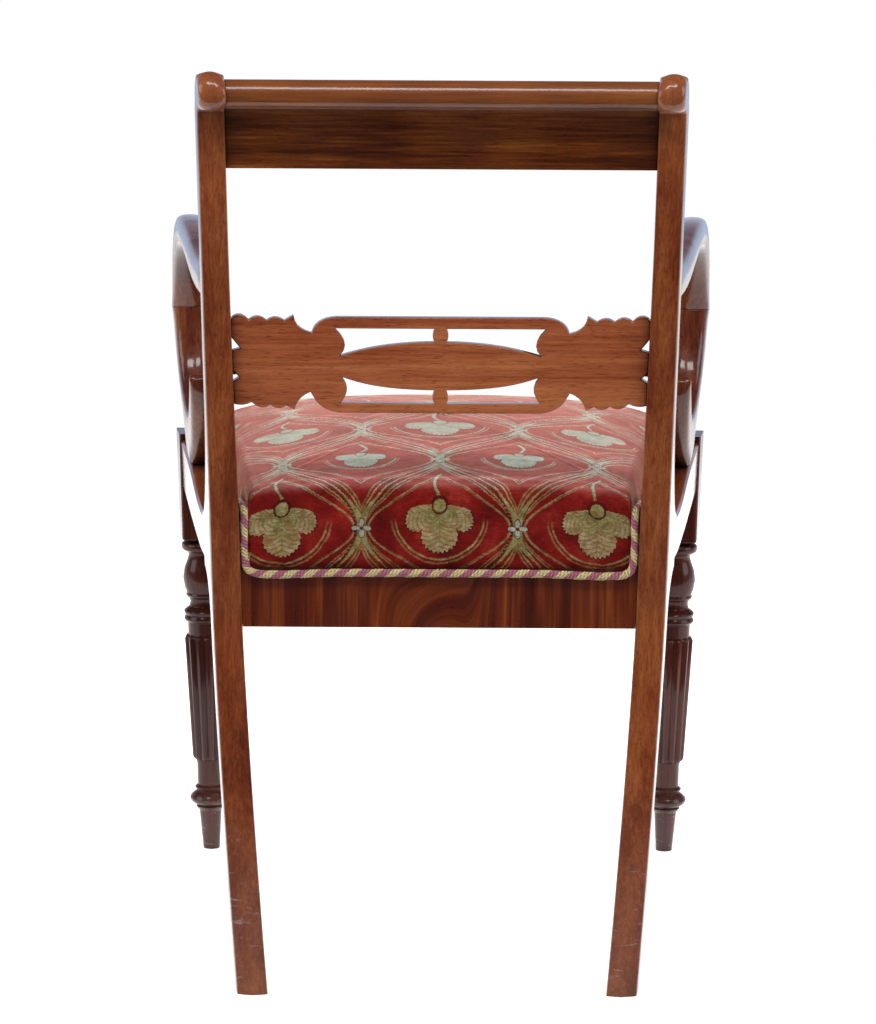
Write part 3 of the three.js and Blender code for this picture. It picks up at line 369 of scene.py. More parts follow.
def planed_beech(name):
    """Pale wood with short brown flecks along x, and no polish."""
    material, tree, shader = new_material(name)
    place = add(tree, "ShaderNodeTexCoord").out("Object")
    fibres = noise(place, along_grain("x", 3 * MM, 0.12), 4.0, 0.6)
    flecks = noise(place, along_grain("x", 1 * MM, 6 * MM), 1.0, 0.5)
    colour = ramp(fibres, [(0.3, "#9a7345"), (0.5, "#b08a5a"), (0.7, "#c4a272")])
    colour = blend_colour(step_between(flecks, 0.6, 0.7) * 0.5, colour, "#7a5230")
    fill(shader, {"Base Color": colour, "Normal": relief(fibres, 0.4 * MM, 0.4), "Roughness": 0.65})
    return material


beech = planed_beech("beech_planed")
print("veneer and beech")

# %% [markdown]
# ## Rounding the facets of the wood
# The wood comes from the CAD as loose flat triangles. A small set of geometry nodes welds
# them and shades every joint between faces smooth, except where two faces meet at more than
# 35 degrees. The nodes work on a copy as the picture is made, so the CAD mesh stays as it is.
# Hands have worn the arms, their supports and the ears of the stiles round, so there a finer
# mesh is blurred a few times; the joints keep their flat faces.

# %% Weld and smooth every wooden node


def away_from(value, level, reach):
    """0 at a level and 1 beyond the reach to both sides of it."""
    return step_between(abs(value - level), reach / 4, reach)


WELD = 0.02 * MM
EAR_LEVEL = 0.83
JOINT_LEVELS = [0.582, 0.436]
stile_points = np.array([tuple(vertex.co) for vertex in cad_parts["left_stile"].data.vertices])
ear_x = np.abs(stile_points[stile_points[:, 2] > EAR_LEVEL, 0])
EAR_MIDDLE, EAR_HALF = float(ear_x.max() + ear_x.min()) / 2, float(np.ptp(ear_x)) / 2
print("ear from", ear_x.min(), "to", ear_x.max())


def worn_round(name, steps, joints, above=0.0, dome=0.0):
    """Weld, divide twice, then blur the places above a level where they are clear of the joints.
    A dome lowers the sides of an ear by d ((|x| - middle) / half width)^2."""
    group, source = new_group(name)
    welded = add(group, "GeometryNodeMergeByDistance", {"Geometry": source, "Distance": WELD})
    finer = add(group, "GeometryNodeSubdivideMesh", {"Mesh": welded, "Level": 2})
    place = add(group, "GeometryNodeInputPosition")
    height = xyz(place)[2]
    share = step_between(height, above, above + 12 * MM)
    for joint in joints:
        share = share * away_from(height, joint, 14 * MM)
    inputs = {"Iterations": steps, "Weight": share}
    blur = add(group, "GeometryNodeBlurAttribute", inputs, data_type="FLOAT_VECTOR").socket.node
    group.links.new(place.socket, next(socket for socket in blur.inputs if socket.enabled))
    blurred = Value(next(socket for socket in blur.outputs if socket.enabled))
    x, _, z = xyz(blurred)
    aside = (abs(x) - EAR_MIDDLE) / EAR_HALF
    drop = aside * aside * dome * step_between(z, 0.824, 0.848)
    lower = add(group, "ShaderNodeCombineXYZ", {2: drop * -1.0})
    moved = {"Geometry": finer, "Position": blurred, "Offset": lower}
    add(group, "NodeGroupOutput", {0: add(group, "GeometryNodeSetPosition", moved)})
    return group


worn_limb = worn_round("worn_limb", steps=45, joints=JOINT_LEVELS)
worn_ear = worn_round("worn_ear", steps=6, joints=[], above=0.815, dome=5 * MM)
SIDES = ("left", "right")
WORN = {f"{side}_{piece}": worn_limb for side in SIDES for piece in ("arm", "arm_support")}
WORN |= {f"{side}_stile": worn_ear for side in SIDES}

smoothing, source = new_group("welded_and_smooth")
welded = add(smoothing, "GeometryNodeMergeByDistance", {"Geometry": source, "Distance": WELD})
corner = add(smoothing, "GeometryNodeInputMeshEdgeAngle")
soft_edge = {0: corner, 1: math.radians(35)}
soft_edge = add(smoothing, "FunctionNodeCompare", soft_edge, operation="LESS_THAN")
edges = {"Geometry": welded, "Shade Smooth": soft_edge}
by_edge = add(smoothing, "GeometryNodeSetShadeSmooth", edges, domain="EDGE")
faces = {"Geometry": by_edge, "Shade Smooth": True}
by_face = add(smoothing, "GeometryNodeSetShadeSmooth", faces, domain="FACE")
add(smoothing, "NodeGroupOutput", {0: by_face})

FINISHES = {
    upright_mahogany: [f"{side}_stile" for side in SIDES],
    limb_mahogany: [f"{side}_{piece}" for side in SIDES for piece in ("arm", "arm_support")],
    lying_mahogany: [f"{side}_side_rail" for side in SIDES],
    crest_mahogany: ["crest_rail"],
    splat_mahogany: ["splat"],
    turned_mahogany: [f"{side}_front_leg" for side in SIDES],
    veneer: ["back_rail"],
    beech: ["front_rail"]
    + [f"{side}_{piece}_dowel" for side in SIDES for piece in ("arm", "support")]
    + [f"{end}_{side}_corner_block" for end in ("back", "front") for side in SIDES],
}
for finish, names in FINISHES.items():
    for name in names:
        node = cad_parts[name]
        node.data.materials.clear()
        node.data.materials.append(finish)
        if name in WORN:
            node.modifiers.new("worn", "NODES").node_group = WORN[name]
        node.modifiers.new("smooth", "NODES").node_group = smoothing
print(sum(len(names) for names in FINISHES.values()), "wooden pieces finished")

# %% [markdown]
# ## Meshes from rings
# The soft pieces are made from rings of points. A ring is a closed line of points, and a row
# of rings, one after the other, is a surface. The whole row is one numpy array, so a shape
# is a formula and no loop runs over its points.

# %% From a numpy array to a mesh


def mesh_from_rings(name, rings, material, looped=False, caps=(True, True), uvs=None):
    """Joins point j of ring i to its neighbours with one four-sided face each; a cap closes an end
    ring, and uvs gives each point its place on the flat cloth."""
    count, around, _ = rings.shape
    i = np.arange(count if looped else count - 1)[:, None]
    j = np.arange(around)[None, :]
    ahead, beside = (i + 1) % count, (j + 1) % around
    sides = [i * around + j, i * around + beside, ahead * around + beside, ahead * around + j]
    faces = np.stack(sides, -1).reshape(-1, 4).tolist()
    if not looped and caps[0]:
        faces.append(list(range(around))[::-1])
    if not looped and caps[1]:
        faces.append([(count - 1) * around + k for k in range(around)])
    mesh = bpy.data.meshes.new(name)
    mesh.from_pydata(rings.reshape(-1, 3).tolist(), [], faces)
    if uvs is not None:
        corners = np.zeros(len(mesh.loops), np.int32)
        mesh.loops.foreach_get("vertex_index", corners)
        layer = mesh.uv_layers.new(name="cloth")
        layer.data.foreach_set("uv", uvs.reshape(-1, 2)[corners].astype(np.float32).ravel())
    mesh.materials.append(material)
    mesh.polygons.foreach_set("use_smooth", np.ones(len(mesh.polygons), bool))
    mesh.update()
    piece = bpy.data.objects.new(name, mesh)
    scene.collection.objects.link(piece)
    return piece


def smooth_table(table, place):
    """A smooth curve through a table of (place, value) rows: each stretch is a cubic whose slope at
    a row is the slope between the rows on both sides of it."""
    table = np.array(table)
    place = np.asarray(place, float)
    i = np.clip(np.searchsorted(table[1:, 0], place, side="left"), 0, len(table) - 2)
    rows = np.arange(len(table))
    before, after = np.maximum(rows - 1, 0), np.minimum(rows + 1, len(table) - 1)
    slope = (table[after, 1] - table[before, 1]) / (table[after, 0] - table[before, 0])
    span = table[i + 1, 0] - table[i, 0]
    t = (place - table[i, 0]) / span
    rise = t * t * (3 - 2 * t)
    start = t * (1 - t) ** 2 * span * slope[i]
    finish = t * t * (1 - t) * span * slope[i + 1]
    return table[i, 1] + (table[i + 1, 1] - table[i, 1]) * rise + start - finish


print("ring tools ready")

# %% [markdown]
# ## Where the seat sits
# The seat fills the frame between the stiles, the arm supports and the front legs, so its
# outline is worked out from the same sizes as the frame: the side frames splay outwards to
# the front and lean outwards to the top, and the side rails dip behind the arms. Here y = 0
# is the back edge of the stiles, in millimetres; one function moves a shape to its place in
# metres.

# %% The seat's outline in plan
# An inset is measured inwards from the outer face of the side frame.
SEAT_HALF_WIDTH = 213.5
SEAT_LEVEL = 412
SPLAY, CANT = 0.138, 0.0384
FIT = 0.3
RAIL_SWEEP = 29
CORD_RADIUS = 4
CORD_GAP = 0.9
CORD_TURN_LEVEL = 439
SKIRT_BOTTOM = 384
SHOULDER_LEVEL = 449
CROWN_TOP = 498
COVER_THICKNESS = 1.6
SIDE_BULGE = 4
STUFFING_BOTTOM = 407.2
COVER_STEPS, STUFFING_STEPS = 3, 2
WALL_RINGS = 3 * COVER_STEPS + 1
HELD_RINGS = 8
RAIL_TOP = 430
LUG_REACH = 94.5
SQUARE_FRONT, SQUARE_BACK = -459, -414.6
FRONT_RAIL_INSET = 4
INNER_BACK, INNER_FRONT = -33, -436
COVER_BACK, COVER_FRONT = -12.1, -456.9
NOTCH = -403
CORD_INSET = 32.9
COVER_INSET = 38.7
SQUARE_CORD_INSET = 52.3
SQUARE_COVER_INSET = 58.1
RAIL_TOP_SHARES = [
    (0, 0.345), (0.09, 0.1), (0.173, -0.03), (0.36, 0.086), (0.541, 0.48), (0.7, 0.76), (1, 1),
]  # fmt: skip
CROWN_SHARES = [
    (0, 0.12), (0.03, 0.3), (0.1, 0.48), (0.24, 0.7), (0.42, 0.89),
    (0.64, 1), (0.82, 0.95), (0.93, 0.74), (0.98, 0.42), (1, 0.2),
]  # fmt: skip


def in_place(points):
    """Millimetres from the stiles' back edge to metres in the frame."""
    return points * MM + np.array([0, BACK_PLANE, 0])


def outer_x(y, z):
    """Distance of the side frame's outer face from the middle: a plane that splays and leans."""
    return SEAT_HALF_WIDTH - SPLAY * y + CANT * (z - SEAT_LEVEL)


def side_rail_top(y):
    """The side rail's top edge: a smooth table along its length, times its sweep."""
    place = np.clip((-LUG_REACH - FIT - y) / (-LUG_REACH - SQUARE_BACK - 2 * FIT), 0, 1)
    return SEAT_LEVEL + RAIL_SWEEP * smooth_table(RAIL_TOP_SHARES, place)


def cord_height(y):
    """The cord lies on the side rail and climbs the stile behind it, as the fourth power of the
    way, and along the front legs' squares it is level."""
    on_rail = side_rail_top(y) + CORD_RADIUS + CORD_GAP
    share = np.clip(1 - (LUG_REACH + y) / LUG_REACH, 0, 1)
    level = np.maximum(CORD_TURN_LEVEL, on_rail)
    climbing = level + (on_rail - level) * share**4
    return np.where(y < SQUARE_BACK, CORD_TURN_LEVEL, climbing)


def cover_half_width(y):
    """Half the seat's width at y, which steps in round the squares of the front legs."""
    return outer_x(y, CORD_TURN_LEVEL) - np.where(y < NOTCH, SQUARE_COVER_INSET, COVER_INSET)


def seat_outline(offset, side_points=110, step_points=7, tip_points=15, run_points=130):
    """Rows of x, y and skirt (1 on the back and front runs), offset inwards."""
    back, front, notch = COVER_BACK - offset, COVER_FRONT + offset, NOTCH + offset
    y = np.linspace(back - FIT / 2, notch, side_points)
    x = outer_x(y, CORD_TURN_LEVEL) - COVER_INSET - offset
    step_x = np.linspace(x[-1], cover_half_width(NOTCH - 2) - offset, step_points + 1)[1:]
    tip_y = np.linspace(notch, front + FIT / 2, tip_points + 1)[1:]
    tip_x = np.interp(tip_y, [front, notch], [cover_half_width(COVER_FRONT) - offset, step_x[-1]])
    step_y = np.full(step_points, notch)
    left = np.concatenate([np.stack(run, 1) for run in ((x, y), (step_x, step_y), (tip_x, tip_y))])
    front_x = np.linspace(left[-1, 0], -left[-1, 0], run_points)
    back_x = np.linspace(-left[0, 0], left[0, 0], run_points)
    runs = [
        np.column_stack([left, np.zeros(len(left))]),
        np.column_stack([front_x, np.full(run_points, front), np.ones(run_points)]),
        np.column_stack([-left[::-1, 0], left[::-1, 1], np.zeros(len(left))]),
        np.column_stack([back_x, np.full(run_points, back), np.ones(run_points)]),
    ]
    return np.concatenate(runs)


outline = seat_outline(0)
print("seat outline:", len(outline), "points,", round(float(np.ptp(outline[:, 0]))), "mm wide")

# %% [markdown]
# ## The shape of the stuffed seat
# The seat rises from the rails in an upright wall, turns over a soft shoulder and swells to
# its highest point a little in front of the middle. Each ring of the mesh is the outline at
# a smaller scale, and its height is a crown: nearly flat in the middle and falling ever
# faster to the sides. A smooth curve runs through the rings from the foot of the wall to the
# middle, and the rings near the shoulder are then drawn towards their neighbours a few times,
# so the cloth turns over softly.

# %% Rings from the foot of the wall to the middle of the crown
MIDDLE = (COVER_BACK + COVER_FRONT) / 2
CROWN_SCALES = [
    0.985, 0.965, 0.935, 0.9, 0.85, 0.78, 0.7, 0.61, 0.52, 0.43, 0.34, 0.25, 0.16, 0.08, 0.015,
]  # fmt: skip
CROWN_POWER, CROWN_ROUNDNESS, CROWN_EDGE = 2.4, 0.36, 0.97


def crown_height(x, y):
    """Shoulder level plus the rise times (1 - edge a^power)^roundness, where a is the share of the
    way to the side, times a smooth table from back to front."""
    across = np.minimum(np.abs(x) / cover_half_width(np.maximum(y, NOTCH)), 1)
    place = np.clip((COVER_BACK - y) / (COVER_BACK - COVER_FRONT), 0, 1)
    fullness = (1 - CROWN_EDGE * across**CROWN_POWER) ** CROWN_ROUNDNESS
    rise = (CROWN_TOP - SHOULDER_LEVEL) * fullness * smooth_table(CROWN_SHARES, place)
    return SHOULDER_LEVEL + rise


def refine(rings, steps):
    """A Catmull-Rom curve through each column of rings, with 'steps' rings for each stretch."""
    padded = np.concatenate([2 * rings[:1] - rings[1:2], rings, 2 * rings[-1:] - rings[-2:-1]])
    a, b, c, d = (padded[k : k + len(rings) - 1, None] for k in range(4))
    t = (np.arange(steps) / steps)[None, :, None, None]
    square, cube = a - 2.5 * b + 2 * c - d / 2, 1.5 * (b - c) + (d - a) / 2
    curve = b + t * (c - a) / 2 + t**2 * square + t**3 * cube
    return np.concatenate([curve.reshape(-1, *rings.shape[1:]), rings[-1:]])


EASED_ROWS, EASED_SHARES = (3, 5, 12, 18), (0, 0.5, 0.5, 0)
ROUNDS_WHEN_MADE, ROUNDS_WHEN_SWOLLEN = 10, 4


def eased(rows, rounds):
    """Rounds the turn from wall to crown: each round moves a row part of the way to the mean of its
    neighbours."""
    share = np.interp(np.arange(1, len(rows) - 1), EASED_ROWS, EASED_SHARES)[:, None, None]
    for _ in range(rounds):
        rows[1:-1] += share * ((rows[:-2] + rows[2:]) / 2 - rows[1:-1])
    return rows


def seat_rings(offset, foot_of, steps):
    """Wall, seam, swollen side and crown, one ring each, then the curve through them."""
    outer, inner = seat_outline(0), seat_outline(offset)
    x, y, skirt = inner[:, 0], inner[:, 1], inner[:, 2] > 0
    foot = foot_of(y, skirt)
    seam_level = np.where(skirt, CORD_TURN_LEVEL, cord_height(outer[:, 1]) + CORD_RADIUS)
    seam = np.maximum(seam_level - offset, foot + FIT)
    place = np.clip((COVER_BACK - outer[:, 1]) / (COVER_BACK - COVER_FRONT), 0, 1)
    swell = np.where(skirt, 0, SIDE_BULGE * np.sqrt(np.sin(np.pi * place)) / np.hypot(x, y - MIDDLE))
    shoulder = (seam_level + crown_height(outer[:, 0], outer[:, 1])) / 2 + SIDE_BULGE / 2 - offset
    low = [np.stack([x, y, level], 1) for level in (foot, (foot + seam) / 2, seam)]
    side = np.stack([x * (1 + swell), MIDDLE + (y - MIDDLE) * (1 + swell), shoulder], 1)
    scale = np.array(CROWN_SCALES)[:, None]
    level = crown_height(outer[:, 0] * scale, MIDDLE + (outer[:, 1] - MIDDLE) * scale) - offset
    crown = np.stack([x * scale, MIDDLE + (y - MIDDLE) * scale, level], -1)
    rings = np.concatenate([np.stack([*low, side]), crown])
    return eased(refine(rings, steps), ROUNDS_WHEN_MADE)


def cloth_places(rings, skirt):
    """Where each point lies on the flat cloth, in metres: the way along the surface from the middle
    on the crown, and straight on over the edge on the walls."""
    steps = np.linalg.norm(np.diff(rings[::-1], axis=0), axis=2)
    run = np.concatenate([np.zeros((1, rings.shape[1])), np.cumsum(steps, 0)])[::-1]
    edge = rings[WALL_RINGS]
    away = edge[:, :2] - np.array([0, MIDDLE])
    away = away / np.linalg.norm(away, axis=1)[:, None]
    places = away[None] * run[..., None]
    down = (run - run[WALL_RINGS])[:WALL_RINGS, :, None]
    straight = np.sign(away) * np.stack([~skirt, skirt], 1)
    places[:WALL_RINGS] = places[WALL_RINGS] + straight * down
    return places * MM


def cover_foot(y, skirt):
    """The skirts of the cover reach down the rails' faces; at the sides it ends at the cord."""
    return np.where(skirt, SKIRT_BOTTOM, cord_height(y) - CORD_RADIUS / 2)


cover_rings = seat_rings(0, cover_foot, COVER_STEPS)
skirt_runs = outline[:, 2] > 0
print("seat rings:", cover_rings.shape, "top at", round(float(cover_rings[..., 2].max()), 1), "mm")

# %% [markdown]
# ## The velvet and its printed pattern
# The cover is a cut velvet: a short crimson pile that looks pale where the eye glances along
# it, which is what a shader's sheen does. Its pattern is a general one of the period: olive
# stems that swell apart and meet again, thin lines that bow between them, a fan of leaves on
# a stalk in each space, and a small flower of four leaves where the stems meet. It is drawn
# in the cloth's own flat places, so it stays on the cloth as a real print would. Each shape
# is a distance worked out from a formula, and a line or a filled leaf is where that distance
# is small. A painted sheen makes the colour paler on top of the seat.

# %% The crimson velvet
REPEAT_ACROSS = 0.148
REPEAT_ALONG = 0.2
PATTERN_START = 0.045
HAIRLINE = 0.8 * MM
KNOT_SPACING = 3.6 * MM
CRIMSON = [(0.3, "#5c0706"), (0.48, "#750f0c"), (0.6, "#881c16"), (0.75, "#9e3228")]
OUTLINE, STALK_SHADOW = "#430a0c", "#5a1c16"


def inside(distance, limit):
    """1 where the distance is under the limit, with a soft edge as wide as a few threads."""
    return 1.0 - step_between(distance, limit, limit + HAIRLINE)


def nearest(value, repeat):
    """Signed distance of a value to the nearest whole repeat."""
    return calc("WRAP", value, repeat / 2, -repeat / 2)


def length(x, y):
    """sqrt(x^2 + y^2)"""
    return calc("SQRT", x * x + y * y)


def jittered(place, cloth, spots, reach):
    """The place moved about by a noise of so many spots to the metre, by half the reach at most."""
    tree = cloth.socket.id_data
    drift = {"Vector": cloth, "Scale": spots, "Detail": 1.0}
    drift = {0: add(tree, "ShaderNodeTexNoise", drift).out("Color"), 1: (0.5, 0.5, 0.5)}
    drift = {0: add(tree, "ShaderNodeVectorMath", drift, operation="SUBTRACT"), "Scale": reach}
    drift = add(tree, "ShaderNodeVectorMath", drift, operation="SCALE")
    return add(tree, "ShaderNodeVectorMath", {0: place, 1: drift}, operation="ADD")


def fan(x, y, size, leaves):
    """Leaves round a foot: edge at size (0.6 + 0.42 |cos(leaves angle / 2)|^0.5), which falls off to
    the sides and has small teeth. Returns the distance outside it, the radius, the share of the
    way along a leaf and the distance to a vein."""
    rise = y + 0.48 * size
    radius = length(x, rise)
    angle = calc("ARCTAN2", x, rise)
    spread = abs(angle)
    half_turn = angle * (leaves / 2)
    lobe = abs(calc("COSINE", half_turn)) ** 0.5
    teeth = calc("SINE", angle * (13.0 * leaves)) * 0.025
    edge = (lobe * 0.42 + 0.6 + teeth) * ((spread * spread * -0.17 + 1.0) * size)
    behind = step_between(spread, 1.45, 1.7)
    edge = add(x.socket.id_data, "ShaderNodeMix", {0: behind, 2: edge, 3: 0.16 * size})
    slant = abs(calc("SINE", half_turn))
    ribs = calc("PINGPONG", slant * (-0.22 * size) + radius, 0.055 * size)
    vein = calc("MINIMUM", slant * radius, ribs + 0.15 * MM)
    return radius - edge, radius, radius / edge, vein


def flower(x, y, size):
    """Four pointed leaves: edge at size (0.25 + 0.75 cos(2 angle)^2)."""
    radius = length(x, y)
    turned = calc("COSINE", calc("ARCTAN2", x, y) * 2.0)
    return radius - (turned * turned * (0.75 * size) + 0.25 * size), radius


def dyed(cloth, spots, stops, detail=3.0):
    """A dye that took unevenly: colours through a fine noise on the cloth."""
    return ramp(noise(cloth, spots, detail, 0.6), stops)


def pattern(cloth, ground):
    """Stems at u = +-A (1 - cos(2 pi v / H)), with fans of leaves and small flowers between them."""
    place = jittered(jittered(cloth, cloth, 60.0, 2.5 * MM), cloth, 700.0, 2.2 * MM)
    across, along, _ = xyz(place)
    along = along + PATTERN_START
    turn = along * (2 * math.pi / REPEAT_ALONG)
    swing = (1.0 - calc("COSINE", turn)) * (REPEAT_ACROSS / 4)
    left, right = nearest(across + swing, REPEAT_ACROSS), nearest(across - swing, REPEAT_ACROSS)
    stem = calc("MINIMUM", abs(left), abs(right))
    apart = calc("SINE", turn) ** 2.0
    band = abs(calc("COSINE", turn)) ** 3.0 * (2.8 * MM) + 0.7 * MM
    cell_x, cell_y = nearest(across + REPEAT_ACROSS / 2, REPEAT_ACROSS), nearest(along, REPEAT_ALONG)
    other_x = nearest(across, REPEAT_ACROSS)
    other_y = nearest(along + REPEAT_ALONG / 2, REPEAT_ALONG)
    sage = dyed(cloth, 120, [(0.3, "#6f6c38"), (0.5, "#8d8a54"), (0.7, "#a9a779")])
    beige = dyed(cloth, 90, [(0.3, "#8d7a48"), (0.5, "#a89468"), (0.7, "#bfb08a")])
    pale = dyed(cloth, 90, [(0.3, "#8a9a80"), (0.5, "#a3b2a0"), (0.7, "#bcc8ba")])
    colour = ground
    for bow, share in ((7 * MM, 0.85), (11 * MM, 0.6), (24 * MM, 0.75), (27 * MM, 0.5)):
        rail = inside(abs(stem - (apart * bow + bow / 4)), 0.5 * MM)
        colour = blend_colour(rail * share, colour, sage)
    beads = inside(abs(left - band - 2.2 * MM), 0.6 * MM)
    knots = beads * step_between(calc("SINE", along * (2 * math.pi / KNOT_SPACING)), -0.4, 0.2)
    colour = blend_colour(inside(stem - band, 0.6 * MM), colour, STALK_SHADOW)
    colour = blend_colour(inside(stem - band, -0.2 * MM), colour, sage)
    colour = blend_colour(knots, colour, "#2e0f0c")
    stalks = ((other_x, other_y, 46 * MM, 5 * MM), (cell_x, cell_y, 36 * MM, -5 * MM))
    for x, y, size, swerve in stalks:
        stalk = abs(x - calc("SINE", y * (1.6 * math.pi / size)) * swerve)
        below = inside(y, -0.45 * size) * inside(y * -1.0, 1.3 * size)
        colour = blend_colour(inside(stalk, 1.5 * MM) * below, colour, STALK_SHADOW)
        colour = blend_colour(inside(stalk, 0.9 * MM) * below, colour, sage)
        over = y + 0.25 * size
        reach = length(x, over)
        for radius, share in ((0.92, 0.8), (1.0, 0.5)):
            arch = inside(abs(reach - radius * size), 0.5 * MM)
            colour = blend_colour(arch * step_between(over, 0.0, 0.3 * size) * share, colour, sage)
    fans = ((other_x, other_y, 44 * MM, 5, beige), (cell_x, cell_y, 34 * MM, 4, pale))
    for x, y, size, leaves, leaf_colour in fans:
        distance, radius, share, vein = fan(x, y, size, leaves)
        colour = blend_colour(inside(distance, 1.6 * MM), colour, OUTLINE)
        filling = blend_colour(step_between(share, 0.25, 0.9), sage, leaf_colour)
        colour = blend_colour(inside(distance, 0.0), colour, filling)
        veined = inside(vein, 0.35 * MM) * inside(distance, -1.5 * MM)
        colour = blend_colour(veined * 0.65, colour, "#5f6232")
        colour = blend_colour(inside(radius, 0.17 * size), colour, OUTLINE)
        colour = blend_colour(inside(radius, 0.13 * size), colour, sage)
    for x, y in ((other_x, cell_y), (cell_x, other_y)):
        distance, radius = flower(x, y, 9 * MM)
        colour = blend_colour(inside(distance, 0.9 * MM), colour, OUTLINE)
        colour = blend_colour(inside(distance, -0.2 * MM), colour, pale)
        colour = blend_colour(inside(radius, 1.6 * MM), colour, "#5b2a16")
    return colour


def printed_velvet(name):
    """The pattern on a crimson ground, worn thin in spots, with slubs in the weave, and a painted
    sheen that turns the colour paler where the seat is level, (normal z + noise)^4. The shader's
    sheen is the pile seen edgewise."""
    material, tree, shader = new_material(name)
    cloth = add(tree, "ShaderNodeUVMap", uv_map="cloth")
    ground = dyed(cloth, 30, CRIMSON, 4.0)
    threadbare = step_between(noise(cloth, 160, 4.0, 0.7), 0.35, 0.7) * 0.4 + 0.04
    colour = blend_colour(threadbare, pattern(cloth, ground), ground)
    brushed = noise(cloth, [26, 60, 30], 3.0, 0.6)
    slubs = noise(cloth, [160, 620, 30], 3.0, 0.75)
    shade = {0: slubs * 0.7 + brushed * 0.3, 1: 0.37, 2: 0.63, 3: 0.55, 4: 1.28}
    shade = add(tree, "ShaderNodeMapRange", shade)
    grey = add(tree, "ShaderNodeCombineColor", {0: shade, 1: shade, 2: shade})
    colour = blend_colour(1.0, colour, grey, "MULTIPLY")
    dyes = add(tree, "ShaderNodeSeparateColor", {0: colour})
    greenish = step_between(dyes.out(1) / dyes.out(0), 0.2, 0.7)
    painted_sheen_colour = blend_colour(0.7, blend_colour(greenish, "#f2a096", "#c6ebdf"), grey, "MULTIPLY")
    normal = add(tree, "ShaderNodeNewGeometry").out("Normal")
    level = (brushed - 0.5) * 0.3 + xyz(normal)[2]
    # painted sheen: the colour turns paler where the cloth faces up
    painted_sheen = calc("MINIMUM", calc("MAXIMUM", level, 0.0) ** 4.0, 1.0)
    fill(shader, {"Base Color": blend_colour(painted_sheen * (greenish * 0.28 + 0.34), colour, painted_sheen_colour)})
    pile = noise(cloth, 220, 2.0) * 0.6 + noise(cloth, 900, 2.0, 0.6)
    fill(shader, {"Normal": relief(pile, 0.5 * MM, 0.45)})
    fill(shader, {"Roughness": 0.9, "Specular IOR Level": 0.15})
    fill(shader, {"Sheen Weight": 1.0, "Sheen Roughness": 0.28, "Sheen Tint": linear("#efb0a2")})
    return material


velvet = printed_velvet("velvet_cut_printed")
print("velvet nodes:", len(velvet.node_tree.nodes))

# %% [markdown]
# ## The cover
# The cloth is laid over the stuffing as one sheet. A cloth simulation then blows it up very
# slightly from below while its lower edge is held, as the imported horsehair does, and each
# point may move 3 mm at most, so the seat keeps its measured shape. Last it gets its
# thickness inwards.

# %% The velvet cover, swollen by its stuffing
PRESSURE = 4
FRAMES = 20
LARGEST_MOVE = 3 * MM


def swell_cloth(piece, held):
    """Runs Blender's cloth with pressure and without gravity, and keeps each point within the
    largest move. Returns how far the cloth went before that, in metres."""
    rest = np.zeros(len(piece.data.vertices) * 3)
    piece.data.vertices.foreach_get("co", rest)
    group = piece.vertex_groups.new(name="held")
    group.add(held.tolist(), 1.0, "REPLACE")
    cloth = piece.modifiers.new("cloth", "CLOTH")
    cloth.settings.vertex_group_mass = group.name
    cloth.settings.use_pressure = True
    cloth.settings.uniform_pressure_force = PRESSURE
    cloth.settings.effector_weights.gravity = 0
    cloth.point_cache.frame_end = FRAMES
    for number in range(1, FRAMES + 1):
        scene.frame_set(number)
    swollen = np.zeros(len(rest))
    shown = piece.evaluated_get(bpy.context.evaluated_depsgraph_get())
    shown.data.vertices.foreach_get("co", swollen)
    piece.modifiers.remove(cloth)
    piece.vertex_groups.remove(group)
    scene.frame_set(1)
    move = (swollen - rest).reshape(-1, 3)
    size = np.linalg.norm(move, axis=1)[:, None]
    move *= np.minimum(1, LARGEST_MOVE / np.maximum(size, 1e-9))
    rows = (rest + move.ravel()).reshape(cover_rings.shape)
    rows = eased(rows, ROUNDS_WHEN_SWOLLEN)
    piece.data.vertices.foreach_set("co", rows.ravel())
    piece.data.update()
    return float(size.max())


places = cloth_places(cover_rings, skirt_runs)
seat_cover = mesh_from_rings(
    "velvet_seat_cover", in_place(cover_rings), velvet, caps=(False, True), uvs=places
)
moved = swell_cloth(seat_cover, np.arange(HELD_RINGS * cover_rings.shape[1]))
print("cloth moved up to", round(moved / MM, 1), "mm before the cap")
thickness = seat_cover.modifiers.new("thickness", "SOLIDIFY")
thickness.thickness = COVER_THICKNESS * MM
thickness.offset = -1
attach(seat_cover, "root")
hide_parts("seat_cover")
print("cover:", len(seat_cover.data.vertices), "points")

# %% [markdown]
# ## The horsehair
# Under the cover lies curled horsehair, packed and stitched to a firm edge. It is the same
# shape a little smaller, with a foot that goes down into the frame to the hessian.

# %% The horsehair stuffing


def felted_hair(name):
    """Brown fibres: the higher of two noises drawn out across each other."""
    material, tree, shader = new_material(name)
    place = add(tree, "ShaderNodeTexCoord").out("Object")
    fibres = (noise(place, scale, 4.0, 0.6) for scale in ([900, 60, 300], [60, 900, 300]))
    strands = calc("MAXIMUM", *fibres)
    colour = ramp(strands, [(0.4, "#3a2c20"), (0.6, "#6e5a45"), (0.75, "#8d785e")])
    fill(shader, {"Base Color": colour, "Normal": relief(strands, 1 * MM, 0.8), "Roughness": 0.95})
    return material


def stuffing_foot(y, skirt):
    """The stuffing starts just above the rails."""
    return np.full(len(y), RAIL_TOP + 2 * FIT)


